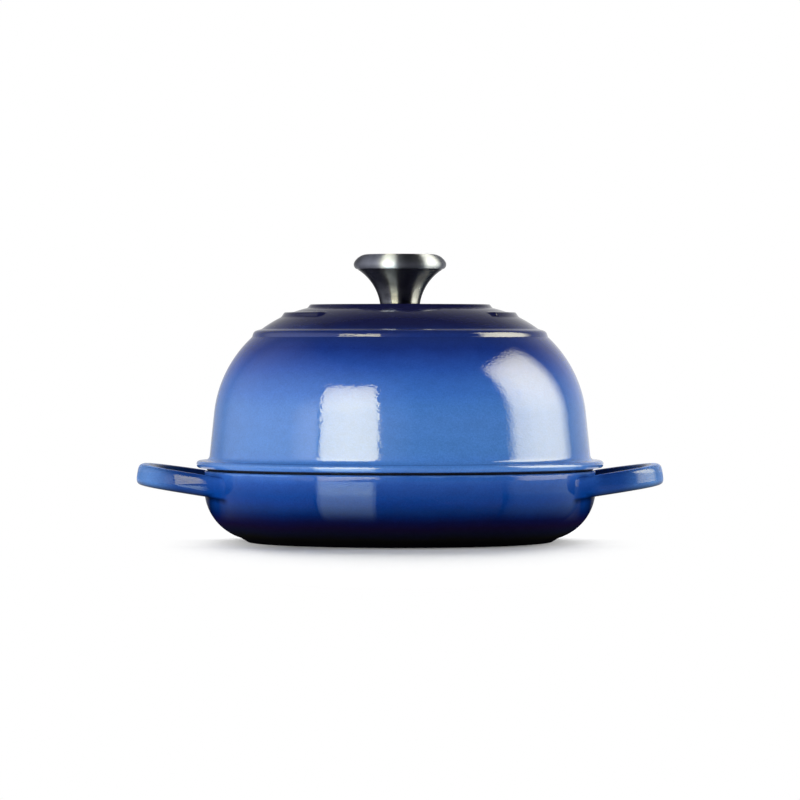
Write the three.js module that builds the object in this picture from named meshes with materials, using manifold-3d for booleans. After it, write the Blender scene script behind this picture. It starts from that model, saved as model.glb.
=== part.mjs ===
// Cast iron bread pot: a shallow round base with two loop handles, and a tall domed lid with a steel knob.
// Millimetres, +Z up. The origin is the middle of the foot, on the table. The pot's front faces -Y.

import * as THREE from 'three';
import { mergeVertices } from 'three/addons/utils/BufferGeometryUtils.js';
import Module from 'manifold-3d';

// Base casting
const BASE_DIAMETER = 241; // outside of the wall
const BASE_HEIGHT = 44; // table to rim
const BASE_WALL = 4.8;
const BELLY_ROUND = 31.3; // outside radius between wall and bottom
const BELLY_CLEARANCE = 1.4; // table to the lowest line of the round belly
const FOOT_INSET = 26.8; // outside of the ring that stands on the table, inside the wall's outside
const FOOT_HEIGHT = 2.8;
const FOOT_LAND = 8; // width of that ring
const FOOT_HOLLOW = 1; // depth of the recess inside it
const RIM_ROUND = 1.8; // outer edge of the rim
const RIM_EASE = 0.6; // inner edge of the rim
const RIDGE_COUNT = 5; // baking ridges round the middle of the floor
const RIDGE_MARGIN = 14.2; // middle of the last ridge to the edge of the flat floor
const RIDGE_WIDTH = 4.6;
const RIDGE_HEIGHT = 1.6;
const RIDGE_EASE = 1.3; // slope on each side of a ridge

// Loop handles, cast with the base
const HANDLE_REACH = 41.8; // wall to the tip of the loop
const HANDLE_WIDTH = 107; // over the two arms of one handle
const HANDLE_THICKNESS = 10;
const HANDLE_BAND = 13; // height of the band
const HANDLE_DROP = 7.9; // rim down to the middle of the band, at the wall
const HANDLE_TILT = THREE.MathUtils.degToRad(8.5); // rise of the loop outwards
const HANDLE_SQUARENESS = 2.8; // 2 bends the loop as an ellipse, more squares its corners
const HANDLE_FILLET = 8; // where the arms run out of the wall
const HANDLE_TOP_ROUND = 3.2;
const HANDLE_LOW_ROUND = 4.4;

// Lid casting
const LID_RISE = 101.8; // seat to the flat top
const LID_WALL = 4.4;
const DOME_INSET = 2.9; // outside of the dome on the flange, inside the base's outside
const DOME_ROUND = 74; // radius of the shoulder
const DOME_DRAFT = THREE.MathUtils.degToRad(6); // lean of the straight wall below the shoulder
const DOME_FILLET = 2.4; // dome into flange
const FLANGE_OVERHANG = 4.9; // flange past the base's outside
const FLANGE_THICKNESS = 4.4;
const FLANGE_RELIEF = 1; // flange above the seat, which leaves the dark line over the rim
const FLANGE_ROUND = 2; // edges of the flange
const LIP_DEPTH = 3; // locating lip inside the base's mouth
const LIP_WIDTH = 2;
const LIP_EASE = 0.6;
const PLATEAU_DIAMETER = 110.6; // flat top that carries the knob
const PLATEAU_RISE = 0.4; // flat top above the crown of the dome
const PLATEAU_LEAN = 1.7;
const PLATEAU_ROUND = 0.9;
const RING_DIAMETER = 180.2; // whole ring round the shoulder
const RING_LAND = 4.9;
const RING_FALL = 1.45; // slope of its land
const RING_LEAN = 1.7;
const RING_ROUND = 1.6;
const BAND_DIAMETER = 132.6; // inside of the broken ring
const BAND_LAND = 4.6;
const BAND_EDGE = 2.6; // rounding of its edge
const BAND_DEPTH = 1.2; // straight part of its edge, below the rounding
const BAND_OPENING = THREE.MathUtils.degToRad(90.7); // bare field between its ends
const BAND_TURN = THREE.MathUtils.degToRad(5.3); // middle of that field, from the front towards +X

// Knob and its fastening
const KNOB_DIAMETER = 57;
const KNOB_HEIGHT = 30.6;
const KNOB_WALL = 1.7;
const KNOB_FOOT_DIAMETER = 24.6;
const STEM_HOLLOW = 30; // radius of the stem's hollow side
const RIM_BEAD = 3.2; // radius of the knob's rim
const SHOULDER_ROUND = 9.4; // radius from the rim to the flat top
const RIM_BLEND = THREE.MathUtils.degToRad(30); // where those two radii meet
const RIM_UNDER = THREE.MathUtils.degToRad(-72); // where the rim meets the stem
const INSERT_FLOOR = 2.4;
const INSERT_DIAMETER = 11;
const INSERT_COVER = 3.7; // metal over the end of the threaded hole
const SCREW_DIAMETER = 6;
const SCREW_GRIP = 11; // length of thread inside the insert
const SCREW_HEAD_DIAMETER = 12;
const SCREW_HEAD_HEIGHT = 3.8;
const SCREW_HEAD_ROUND = 1.6;
const SLOT_WIDTH = 1.6;
const SLOT_DEPTH = 1.8;
const FLAT_WASHER_DIAMETER = 16;
const FLAT_WASHER_THICKNESS = 1.2;
const LOCK_WASHER_DIAMETER = 10.6;
const LOCK_WASHER_THICKNESS = 1.5;
const LOCK_WASHER_SPLIT = THREE.MathUtils.degToRad(14);

// Clearances
const SEAT_GAP = 0.3; // between faces that rest on each other
const LIP_CLEARANCE = 0.8; // lip inside the mouth, all round
const SCREW_CLEARANCE = 0.3; // screw inside the insert and the washers, all round
const HOLE_CLEARANCE = 0.7; // screw inside the hole in the lid, all round

// Facets
const CASTING_SEGMENTS = 48;
const KNOB_SEGMENTS = 28;
const SCREW_SEGMENTS = 20;
const HANDLE_STEPS = 40;
const BAND_STEPS = 36;
const LONG_ARC_STEPS = 9;
const SHORT_ARC_STEPS = 4;
const STEM_STEPS = 6;
const ROUND_STEPS = 2;
const ROUND_LIMIT = 0.48; // most of a thin edge that a rounding may take
const CUT_PAST = 1; // how far a cutting solid runs past what it cuts
const MERGE_DISTANCE = 1e-4;

// Colours
const LID_BLUE = '#3c6cb8';
const BASE_BLUE = '#23498f';
const STEM_STEEL = '#77777b';
const CAP_STEEL = '#8a8a8d';
const FIXING_STEEL = '#a0a0a2';

const wasm = await Module();
wasm.setup();

const baseRadius = BASE_DIAMETER / 2;
const mouthRadius = baseRadius - BASE_WALL;
const bellyAcross = baseRadius - BELLY_ROUND;
const bellyUp = BELLY_CLEARANCE + BELLY_ROUND;
const floorUp = BELLY_CLEARANCE + BASE_WALL;
const ridgePitch = (bellyAcross - RIDGE_MARGIN) / RIDGE_COUNT;

const domeFoot = baseRadius - DOME_INSET;
const crownUp = LID_RISE - PLATEAU_RISE;
const flangeTop = FLANGE_RELIEF + FLANGE_THICKNESS;
const domeUp = crownUp - DOME_ROUND;
const domeWallRise = domeUp + DOME_ROUND * Math.sin(DOME_DRAFT) - flangeTop;
const domeWallLean = domeWallRise * Math.tan(DOME_DRAFT);
const domeAcross = domeFoot - domeWallLean - DOME_ROUND * Math.cos(DOME_DRAFT);
const lidCeiling = crownUp - LID_WALL;
const lipRadius = mouthRadius - LIP_CLEARANCE;
const holeRadius = SCREW_DIAMETER / 2 + HOLE_CLEARANCE;

// Corners along a circular arc about (across, up), between two angles measured from straight outwards.
function arc(across, up, radius, from, to, steps) {
  const curve = new THREE.EllipseCurve(across, up, radius, radius, from, to, to < from);
  return curve.getPoints(steps).map((point) => [point.x, point.y]);
}

// An outline through corners of [across, up], or [across, up, rounding] where the corner is rounded off.
function outline(corners) {
  const count = corners.length;
  const at = (index) => new THREE.Vector2(...corners[(index + count) % count].slice(0, 2));
  return corners.flatMap(([, , rounding], index) => {
    const corner = at(index);
    if (!rounding) {
      return [corner];
    }
    const start = at(index - 1).sub(corner).setLength(rounding).add(corner);
    const end = at(index + 1).sub(corner).setLength(rounding).add(corner);
    return new THREE.QuadraticBezierCurve(start, corner, end).getPoints(ROUND_STEPS);
  });
}

// An outline turned round the Z axis. An outline that stays off the axis is closed on itself.
function revolve(points, segments) {
  const closed = points[0].x > 0;
  const profile = closed ? [...points, points[0]] : points;
  return new THREE.LatheGeometry(profile, segments).rotateX(Math.PI / 2);
}

// A closed geometry as a solid that can be joined and cut.
function solid(geometry) {
  const bare = geometry.clone();
  bare.deleteAttribute('normal');
  bare.deleteAttribute('uv');
  const { attributes, index } = mergeVertices(bare, MERGE_DISTANCE);
  const triangles = [];
  for (let first = 0; first < index.count; first += 3) {
    const [a, b, c] = index.array.slice(first, first + 3);
    if (a !== b && b !== c && c !== a) {
      triangles.push(a, b, c);
    }
  }
  const vertProperties = new Float32Array(attributes.position.array);
  const triVerts = new Uint32Array(triangles);
  return new wasm.Manifold(new wasm.Mesh({ numProp: 3, vertProperties, triVerts }));
}

function geometryOf(body) {
  const { vertProperties, triVerts } = body.getMesh();
  const geometry = new THREE.BufferGeometry();
  geometry.setAttribute('position', new THREE.BufferAttribute(vertProperties, 3));
  geometry.setIndex(new THREE.BufferAttribute(triVerts, 1));
  geometry.computeVertexNormals();
  return geometry;
}

function enamel(color) {
  return new THREE.MeshStandardMaterial({ color, roughness: 0.15, metalness: 0 });
}

function steel(color, roughness) {
  return new THREE.MeshStandardMaterial({ color, roughness, metalness: 1 });
}

function piece(name, body, material) {
  const mesh = new THREE.Mesh(geometryOf(body), material);
  mesh.name = name;
  return mesh;
}

// Radius of the base's outside at a height.
function baseRadiusAt(up) {
  const below = Math.max(0, bellyUp - up);
  return bellyAcross + Math.sqrt(Math.max(0, BELLY_ROUND ** 2 - below ** 2));
}

// Angle on the dome's shoulder where it reaches a radius.
function domeAngleAt(radius) {
  return Math.acos(Math.max(0, (radius - domeAcross) / DOME_ROUND));
}

function domeHeightAt(radius) {
  return domeUp + DOME_ROUND * Math.sin(domeAngleAt(radius));
}

// Middle line of a handle seen from above: a squared half ellipse that starts and ends inside the wall.
class HandleLine extends THREE.Curve {
  getPoint(along) {
    const halfWidth = (HANDLE_WIDTH - HANDLE_THICKNESS) / 2;
    const root = Math.sqrt(baseRadius ** 2 - halfWidth ** 2) - HANDLE_FILLET;
    const reach = baseRadius + HANDLE_REACH - HANDLE_THICKNESS / 2 - root;
    const turn = (along - 0.5) * Math.PI;
    const power = 2 / HANDLE_SQUARENESS;
    const across = root + reach * Math.max(0, Math.cos(turn)) ** power;
    const aside = halfWidth * Math.sign(turn) * Math.abs(Math.sin(turn)) ** power;
    return new THREE.Vector3(across, aside, 0);
  }
}

// Direction straight out of the base's outside at a point near it.
function wallNormalAt(point) {
  const fall = Math.min(0, point.z - bellyUp) / BELLY_ROUND;
  const level = Math.sqrt(1 - Math.min(1, fall ** 2)) / Math.hypot(point.x, point.y);
  return new THREE.Vector3(point.x * level, point.y * level, fall).normalize();
}

// Growth of the handle's section towards the wall, which makes a round fillet there.
function filletGrowth(distance) {
  const rest = Math.max(0, HANDLE_FILLET - Math.max(0, distance));
  return HANDLE_FILLET - Math.sqrt(HANDLE_FILLET ** 2 - rest ** 2);
}

// One handle: a rounded band lofted along its line, tilted up, with a filleted root on the wall.
function handleLoop() {
  const halfThickness = HANDLE_THICKNESS / 2;
  const halfBand = HANDLE_BAND / 2;
  const section = outline([
    [halfThickness, -halfBand, HANDLE_LOW_ROUND],
    [halfThickness, halfBand, HANDLE_TOP_ROUND],
    [-halfThickness, halfBand, HANDLE_TOP_ROUND],
    [-halfThickness, -halfBand, HANDLE_LOW_ROUND],
  ]);
  const tilt = new THREE.Matrix4()
    .makeTranslation(baseRadius, 0, BASE_HEIGHT - HANDLE_DROP)
    .multiply(new THREE.Matrix4().makeRotationY(-HANDLE_TILT))
    .multiply(new THREE.Matrix4().makeTranslation(-baseRadius, 0, 0));
  const line = new HandleLine();
  const positions = [];
  for (let step = 0; step <= HANDLE_STEPS; step += 1) {
    // Steps crowd towards the roots, where the section changes most.
    const along = (1 - Math.cos((Math.PI * step) / HANDLE_STEPS)) / 2;
    const centre = line.getPointAt(along);
    const tangent = line.getTangentAt(along);
    const outward = new THREE.Vector3(tangent.y, -tangent.x, 0);
    for (const { x: out, y: up } of section) {
      const point = new THREE.Vector3(0, 0, up).addScaledVector(outward, out).add(centre).applyMatrix4(tilt);
      const growth = filletGrowth(Math.hypot(point.x, point.y) - baseRadiusAt(point.z));
      // The section spreads along the wall. Its top stays level, to pass under the lid's flange.
      const spread = outward.clone().multiplyScalar(out / halfThickness);
      spread.z = Math.min(0, up / halfBand);
      spread.projectOnPlane(wallNormalAt(point));
      spread.z = Math.min(0, spread.z);
      positions.push(...point.addScaledVector(spread, growth).toArray());
    }
  }
  return loft(positions, section.length);
}

// A closed skin over equal rings of points, with a flat cap on the first and last ring.
function loft(positions, ringSize) {
  const rings = positions.length / 3 / ringSize;
  const index = [];
  for (let ring = 0; ring < rings - 1; ring += 1) {
    for (let corner = 0; corner < ringSize; corner += 1) {
      const a = ring * ringSize + corner;
      const b = ring * ringSize + ((corner + 1) % ringSize);
      index.push(a, a + ringSize, b, b, a + ringSize, b + ringSize);
    }
  }
  const last = (rings - 1) * ringSize;
  for (let corner = 1; corner < ringSize - 1; corner += 1) {
    index.push(0, corner, corner + 1);
    index.push(last, last + corner + 1, last + corner);
  }
  const geometry = new THREE.BufferGeometry();
  geometry.setAttribute('position', new THREE.Float32BufferAttribute(positions, 3));
  geometry.setIndex(index);
  return geometry;
}

// Outline of the floor, with its baking ridges, from the middle outwards.
function ridgedFloor() {
  const corners = [[0, floorUp]];
  for (let ridge = 1; ridge <= RIDGE_COUNT; ridge += 1) {
    const inner = ridge * ridgePitch - RIDGE_WIDTH / 2;
    const outer = ridge * ridgePitch + RIDGE_WIDTH / 2;
    corners.push([inner, floorUp]);
    corners.push([inner + RIDGE_EASE, floorUp + RIDGE_HEIGHT]);
    corners.push([outer - RIDGE_EASE, floorUp + RIDGE_HEIGHT]);
    corners.push([outer, floorUp]);
  }
  return corners;
}

function basePan() {
  const footRadius = baseRadius - FOOT_INSET;
  const footInside = footRadius - FOOT_LAND;
  const bellyStart = Math.asin((FOOT_HEIGHT - bellyUp) / BELLY_ROUND);
  const outside = revolve(outline([
    [0, FOOT_HOLLOW],
    [footInside - FOOT_HOLLOW, FOOT_HOLLOW],
    [footInside, 0],
    [footRadius, 0],
    ...arc(bellyAcross, bellyUp, BELLY_ROUND, bellyStart, 0, LONG_ARC_STEPS),
    [baseRadius, BASE_HEIGHT, RIM_ROUND],
    [0, BASE_HEIGHT],
  ]), CASTING_SEGMENTS);
  const inside = revolve(outline([
    ...ridgedFloor(),
    ...arc(bellyAcross, bellyUp, BELLY_ROUND - BASE_WALL, -Math.PI / 2, 0, LONG_ARC_STEPS),
    [mouthRadius, BASE_HEIGHT - RIM_EASE],
    [mouthRadius + RIM_EASE + CUT_PAST, BASE_HEIGHT + CUT_PAST],
    [0, BASE_HEIGHT + CUT_PAST],
  ]), CASTING_SEGMENTS);
  const handle = handleLoop();
  return solid(outside)
    .add(solid(handle))
    .add(solid(handle.clone().rotateZ(Math.PI)))
    .subtract(solid(inside));
}

// The broken ring on the dome: a rounded band with round ends, open over the bare field at the front.
function brokenBand() {
  const inner = BAND_DIAMETER / 2;
  const outer = inner + BAND_LAND;
  const middle = (inner + outer) / 2;
  const endRound = BAND_LAND / 2;
  const endTurn = (endRound + BAND_EDGE) / middle;
  const front = BAND_TURN - Math.PI / 2;
  const start = front + BAND_OPENING / 2 + endTurn;
  const finish = front + 2 * Math.PI - BAND_OPENING / 2 - endTurn;
  const end = (angle, from) => arc(
    middle * Math.cos(angle), middle * Math.sin(angle), endRound, from, from + Math.PI, SHORT_ARC_STEPS,
  ).slice(1, -1);
  const plan = new THREE.Shape(outline([
    ...arc(0, 0, outer, start, finish, BAND_STEPS),
    ...end(finish, finish),
    ...arc(0, 0, inner, finish, start, BAND_STEPS),
    ...end(start, start + Math.PI),
  ]));
  const band = new THREE.ExtrudeGeometry(plan, {
    depth: BAND_DEPTH,
    bevelThickness: BAND_EDGE,
    bevelSize: BAND_EDGE,
    bevelSegments: ROUND_STEPS,
  });
  return band.translate(0, 0, domeHeightAt(inner) - BAND_EDGE - BAND_DEPTH);
}

// The lid's own frame has its seat at zero height.
function domedLid() {
  const flangeRadius = baseRadius + FLANGE_OVERHANG;
  const flangeRound = Math.min(FLANGE_ROUND, ROUND_LIMIT * FLANGE_THICKNESS);
  const seatEdge = baseRadius - RIM_ROUND;
  const plateauRadius = PLATEAU_DIAMETER / 2;
  const ringRadius = RING_DIAMETER / 2;
  const ringFoot = domeAngleAt(ringRadius + RING_LEAN);
  const ringCrease = domeAngleAt(ringRadius - RING_LAND);
  const ringTop = domeHeightAt(ringRadius - RING_LAND) - RING_FALL;
  const plateauFoot = domeAngleAt(plateauRadius + PLATEAU_LEAN);
  const outside = revolve(outline([
    [0, -LIP_DEPTH],
    [lipRadius, -LIP_DEPTH, LIP_EASE],
    [lipRadius, 0],
    [seatEdge, 0],
    [seatEdge + FLANGE_RELIEF, FLANGE_RELIEF],
    [flangeRadius, FLANGE_RELIEF, flangeRound],
    [flangeRadius, flangeTop, flangeRound],
    [domeFoot, flangeTop, DOME_FILLET],
    ...arc(domeAcross, domeUp, DOME_ROUND, DOME_DRAFT, ringFoot, LONG_ARC_STEPS),
    [ringRadius, ringTop, RING_ROUND],
    ...arc(domeAcross, domeUp, DOME_ROUND, ringCrease, plateauFoot, SHORT_ARC_STEPS),
    [plateauRadius, LID_RISE, PLATEAU_ROUND],
    [0, LID_RISE],
  ]), CASTING_SEGMENTS);
  const insideRadius = lipRadius - LIP_WIDTH;
  const inside = revolve(outline([
    [0, -LIP_DEPTH - CUT_PAST],
    [insideRadius, -LIP_DEPTH - CUT_PAST],
    [insideRadius, flangeTop],
    ...arc(domeAcross, domeUp, DOME_ROUND - LID_WALL, DOME_DRAFT, Math.PI / 2, LONG_ARC_STEPS),
    [0, lidCeiling],
  ]), CASTING_SEGMENTS);
  const hole = new THREE.CylinderGeometry(holeRadius, holeRadius, 2 * LID_RISE, SCREW_SEGMENTS);
  return solid(outside)
    .add(solid(brokenBand()))
    .subtract(solid(inside))
    .subtract(solid(hole.rotateX(Math.PI / 2)));
}

// The knob's own frame has its foot at zero height. The cap and the stem meet at one level seam.
const shoulderUp = KNOB_HEIGHT - SHOULDER_ROUND;
const beadAcross = KNOB_DIAMETER / 2 - RIM_BEAD;
const beadUp = shoulderUp + (SHOULDER_ROUND - RIM_BEAD) * Math.sin(RIM_BLEND);
const shoulderAcross = beadAcross - (SHOULDER_ROUND - RIM_BEAD) * Math.cos(RIM_BLEND);
const seam = new THREE.Vector2(
  beadAcross + RIM_BEAD * Math.cos(RIM_UNDER),
  beadUp + RIM_BEAD * Math.sin(RIM_UNDER),
);

// Centre of the stem's hollow side, which runs from the knob's foot to the seam.
function stemCentre() {
  const foot = new THREE.Vector2(KNOB_FOOT_DIAMETER / 2, 0);
  const chord = seam.clone().sub(foot);
  const height = Math.sqrt(STEM_HOLLOW ** 2 - chord.lengthSq() / 4);
  const sideways = new THREE.Vector2(chord.y, -chord.x).setLength(height);
  return foot.add(seam).divideScalar(2).add(sideways);
}

const hollow = stemCentre();

// Radius of a side of the stem at a height: the hollow's radius is larger on the inner side of the wall.
function stemRadiusAt(up, wall) {
  return hollow.x - Math.sqrt((STEM_HOLLOW + wall) ** 2 - (up - hollow.y) ** 2);
}

function knobStem() {
  const angleAt = (up, wall) => Math.PI - Math.asin((up - hollow.y) / (STEM_HOLLOW + wall));
  const side = (wall, from, to) => arc(
    hollow.x, hollow.y, STEM_HOLLOW + wall, angleAt(from, wall), angleAt(to, wall), STEM_STEPS,
  );
  return solid(revolve(outline([
    ...side(0, 0, seam.y),
    ...side(KNOB_WALL, seam.y, 0),
  ]), KNOB_SEGMENTS));
}

function knobCap() {
  const seat = seam.y + SEAT_GAP;
  const under = Math.asin((seat - beadUp) / RIM_BEAD);
  const hem = stemRadiusAt(seam.y, KNOB_WALL);
  const innerBead = RIM_BEAD - KNOB_WALL;
  return solid(revolve(outline([
    [0, KNOB_HEIGHT - KNOB_WALL],
    ...arc(shoulderAcross, shoulderUp, SHOULDER_ROUND - KNOB_WALL, Math.PI / 2, RIM_BLEND, SHORT_ARC_STEPS),
    ...arc(beadAcross, beadUp, innerBead, RIM_BLEND, RIM_UNDER, SHORT_ARC_STEPS).slice(1),
    [hem, seat + KNOB_WALL],
    [hem, seat],
    ...arc(beadAcross, beadUp, RIM_BEAD, under, RIM_BLEND, SHORT_ARC_STEPS),
    ...arc(shoulderAcross, shoulderUp, SHOULDER_ROUND, RIM_BLEND, Math.PI / 2, SHORT_ARC_STEPS).slice(1),
    [0, KNOB_HEIGHT],
  ]), KNOB_SEGMENTS));
}

function knobInsert() {
  const floorRadius = stemRadiusAt(0, KNOB_WALL) - SEAT_GAP;
  const bore = SCREW_DIAMETER / 2 + SCREW_CLEARANCE;
  const boreTop = SCREW_GRIP + SCREW_CLEARANCE;
  const top = boreTop + INSERT_COVER;
  return solid(revolve(outline([
    [0, boreTop],
    [bore, boreTop],
    [bore, 0],
    [floorRadius, 0],
    [floorRadius, INSERT_FLOOR],
    [INSERT_DIAMETER / 2, INSERT_FLOOR],
    [INSERT_DIAMETER / 2, top],
    [0, top],
  ]), KNOB_SEGMENTS));
}

// Heights in the lid's frame, from the ceiling down through the washers to the screw's head.
const knobFoot = LID_RISE + SEAT_GAP;
const flatWasherTop = lidCeiling - SEAT_GAP;
const lockWasherTop = flatWasherTop - FLAT_WASHER_THICKNESS - SEAT_GAP;
const screwHeadTop = lockWasherTop - LOCK_WASHER_THICKNESS - SEAT_GAP;

function knobScrew() {
  const headRadius = SCREW_HEAD_DIAMETER / 2;
  const headBottom = screwHeadTop - SCREW_HEAD_HEIGHT;
  const turned = revolve(outline([
    [0, headBottom],
    [headRadius, headBottom, SCREW_HEAD_ROUND],
    [headRadius, screwHeadTop],
    [SCREW_DIAMETER / 2, screwHeadTop],
    [SCREW_DIAMETER / 2, knobFoot + SCREW_GRIP],
    [0, knobFoot + SCREW_GRIP],
  ]), SCREW_SEGMENTS);
  const slot = new THREE.BoxGeometry(2 * SCREW_HEAD_DIAMETER, SLOT_WIDTH, 2 * SLOT_DEPTH);
  return solid(turned).subtract(solid(slot.translate(0, 0, headBottom)));
}

function flatWasher() {
  const bore = SCREW_DIAMETER / 2 + SCREW_CLEARANCE;
  const bottom = flatWasherTop - FLAT_WASHER_THICKNESS;
  return solid(revolve(outline([
    [bore, bottom],
    [FLAT_WASHER_DIAMETER / 2, bottom],
    [FLAT_WASHER_DIAMETER / 2, flatWasherTop],
    [bore, flatWasherTop],
  ]), SCREW_SEGMENTS));
}

function lockWasher() {
  const bore = SCREW_DIAMETER / 2 + SCREW_CLEARANCE;
  const from = LOCK_WASHER_SPLIT / 2;
  const to = 2 * Math.PI - LOCK_WASHER_SPLIT / 2;
  const plan = new THREE.Shape(outline([
    ...arc(0, 0, LOCK_WASHER_DIAMETER / 2, from, to, SCREW_SEGMENTS),
    ...arc(0, 0, bore, to, from, SCREW_SEGMENTS),
  ]));
  const ring = new THREE.ExtrudeGeometry(plan, { depth: LOCK_WASHER_THICKNESS, bevelEnabled: false });
  return solid(ring.translate(0, 0, lockWasherTop - LOCK_WASHER_THICKNESS));
}

const knob = new THREE.Group();
knob.position.z = knobFoot;
knob.add(
  piece('knob_stem', knobStem(), steel(STEM_STEEL, 0.22)),
  piece('knob_cap', knobCap(), steel(CAP_STEEL, 0.3)),
  piece('knob_insert', knobInsert(), steel(FIXING_STEEL, 0.4)),
);

const lid = new THREE.Group();
lid.position.z = BASE_HEIGHT + SEAT_GAP;
lid.add(
  piece('domed_lid', domedLid(), enamel(LID_BLUE)),
  knob,
  piece('knob_screw', knobScrew(), steel(FIXING_STEEL, 0.3)),
  piece('flat_washer', flatWasher(), steel(FIXING_STEEL, 0.35)),
  piece('lock_washer', lockWasher(), steel(FIXING_STEEL, 0.45)),
);

const pot = new THREE.Group();
pot.add(piece('base_pan', basePan(), enamel(BASE_BLUE)), lid);

export default pot;
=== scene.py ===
# %% [markdown]
# # A cast iron bread pot
#
# The pot is two enamelled castings and a steel knob. The shallow base has a foot, a rim and two
# loop handles. The tall lid has a flange, three raised steps and a knob that is screwed on from
# inside. Nearly every piece is round, so one Geometry Nodes tree, which works like a potter's
# wheel, turns most of them from an outline.
#
# The first cell brings in the measured model. Every piece made below sits in the same place, in
# metres.

import itertools
import math

import bmesh
import bpy
import numpy as np
from mathutils import Matrix, Vector


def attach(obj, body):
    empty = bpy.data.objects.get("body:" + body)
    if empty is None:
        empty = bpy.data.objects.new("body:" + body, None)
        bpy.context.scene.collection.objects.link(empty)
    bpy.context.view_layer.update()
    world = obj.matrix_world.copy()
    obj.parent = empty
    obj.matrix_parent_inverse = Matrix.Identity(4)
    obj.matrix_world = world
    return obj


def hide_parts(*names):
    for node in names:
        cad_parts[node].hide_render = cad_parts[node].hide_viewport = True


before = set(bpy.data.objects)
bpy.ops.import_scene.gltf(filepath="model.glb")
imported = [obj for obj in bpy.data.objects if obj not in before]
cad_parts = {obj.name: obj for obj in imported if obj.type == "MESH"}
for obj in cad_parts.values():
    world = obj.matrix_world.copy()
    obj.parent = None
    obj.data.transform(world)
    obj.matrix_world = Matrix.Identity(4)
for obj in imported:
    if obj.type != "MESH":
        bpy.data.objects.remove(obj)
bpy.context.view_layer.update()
scene = bpy.context.scene
scene.view_settings.view_transform = "Standard"
MM = 0.001

# %% [markdown]
# ## Camera
#
# The photograph was taken from far away with a long lens: the flange and the rim are almost
# straight lines, and none of the lid's flat top is seen. A long lens level with the dome's
# shoulder, tipped down a little, gives the same view without any lens shift.

# %% Camera
FRAME_PIXELS = 800
FOCAL_PIXELS = 4787
HORIZON_ROW = 339.5
EYE_BACK = 2.95
EYE_UP = 0.1245

lens = bpy.data.cameras.new("camera")
lens.lens = lens.sensor_width * FOCAL_PIXELS / FRAME_PIXELS
camera = bpy.data.objects.new("camera", lens)
tipped_down = math.atan((FRAME_PIXELS / 2 - HORIZON_ROW) / FOCAL_PIXELS)
camera.location = (0, -EYE_BACK, EYE_UP)
camera.rotation_euler = (math.pi / 2 - tipped_down, 0, 0)
scene.collection.objects.link(camera)
scene.camera = camera
print(f"lens {lens.lens:.1f} mm, tipped down {math.degrees(tipped_down):.2f} degrees")

# %% [markdown]
# ## Node helpers
#
# Materials and Geometry Nodes trees are both made of nodes, so a few small helpers serve for all
# of them. `feed` gives inputs of a node a value or a wire, and `place` adds a node and feeds it.
# `faded` makes a mask: a value that changes while another crosses a span. `ramp` turns a value into
# colours. `new_group` starts a reusable group with named inputs and outputs.

# %% Node helpers
def feed(tree, node, inputs):
    """Sets inputs of a node to values, or wires them to other nodes."""
    for key, value in inputs.items():
        if isinstance(value, bpy.types.NodeSocket):
            tree.links.new(value, node.inputs[key])
        else:
            node.inputs[key].default_value = value


def place(tree, kind, inputs=None, **settings):
    """A new node, with its settings made and its inputs fed."""
    made = tree.nodes.new(kind)
    for name, value in settings.items():
        setattr(made, name, value)
    feed(tree, made, inputs or {})
    return made


def spot_on(tree):
    """The spot on an object's surface, in metres from its origin."""
    return place(tree, "ShaderNodeTexCoord").outputs["Object"]


def parts_of(tree, spot):
    """The X, Y and Z of a spot."""
    return place(tree, "ShaderNodeSeparateXYZ", {0: spot}).outputs


def maths(tree, operation, first, second=0.0):
    """The result of one sum on two numbers or wires."""
    return place(tree, "ShaderNodeMath", {0: first, 1: second}, operation=operation).outputs[0]


def product(tree, first, *others):
    """Numbers or wires, all multiplied."""
    for other in others:
        first = maths(tree, "MULTIPLY", first, other)
    return first


def vector(tree, operation, first, second=(0, 0, 0)):
    """The result of one sum on colours or places; a number counts for all three parts."""
    inputs = {0: first, 1: second}
    return place(tree, "ShaderNodeVectorMath", inputs, operation=operation).outputs


def faded(tree, value, span, ends=(0.0, 1.0), smooth=False):
    """A value that goes from one end to the other while another value crosses a span."""
    inputs = {"Value": value, "From Min": span[0], "From Max": span[1]}
    inputs |= {"To Min": ends[0], "To Max": ends[1]}
    kind = "SMOOTHSTEP" if smooth else "LINEAR"
    return place(tree, "ShaderNodeMapRange", inputs, interpolation_type=kind).outputs[0]


def ramp(tree, factor, stops):
    """A colour ramp, with a colour for each place from 0 to 1."""
    made = place(tree, "ShaderNodeValToRGB", {"Fac": factor})
    colours = made.color_ramp.elements
    while len(colours) < len(stops):
        colours.new(0.5)
    for colour, (where, shade) in zip(colours, stops):
        colour.position = where
        colour.color = shade
    return made.outputs["Color"]


def noise(tree, spot, size, detail):
    """Soft noise with lumps of a size in metres."""
    scale = maths(tree, "DIVIDE", 1.0, size)
    made = place(tree, "ShaderNodeTexNoise", {"Vector": spot, "Scale": scale, "Detail": detail})
    return made.outputs["Fac"]


print("node helpers ready")

# %% Groups and materials
def new_group(name, kind, inputs, outputs):
    """An empty node group with named sockets, its inputs' wires and its last node."""
    tree = bpy.data.node_groups.new(name, kind)
    for label, socket, default in inputs:
        made = tree.interface.new_socket(label, in_out="INPUT", socket_type="NodeSocket" + socket)
        if default is not None:
            made.default_value = default
    for label, socket in outputs:
        tree.interface.new_socket(label, in_out="OUTPUT", socket_type="NodeSocket" + socket)
    return tree, place(tree, "NodeGroupInput").outputs, place(tree, "NodeGroupOutput")


def new_material(name):
    """A material with nothing set, its node tree and its shader."""
    material = bpy.data.materials.new(name)
    material.use_nodes = True
    return material, material.node_tree, material.node_tree.nodes["Principled BSDF"]


print("group and material helpers ready")

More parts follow.
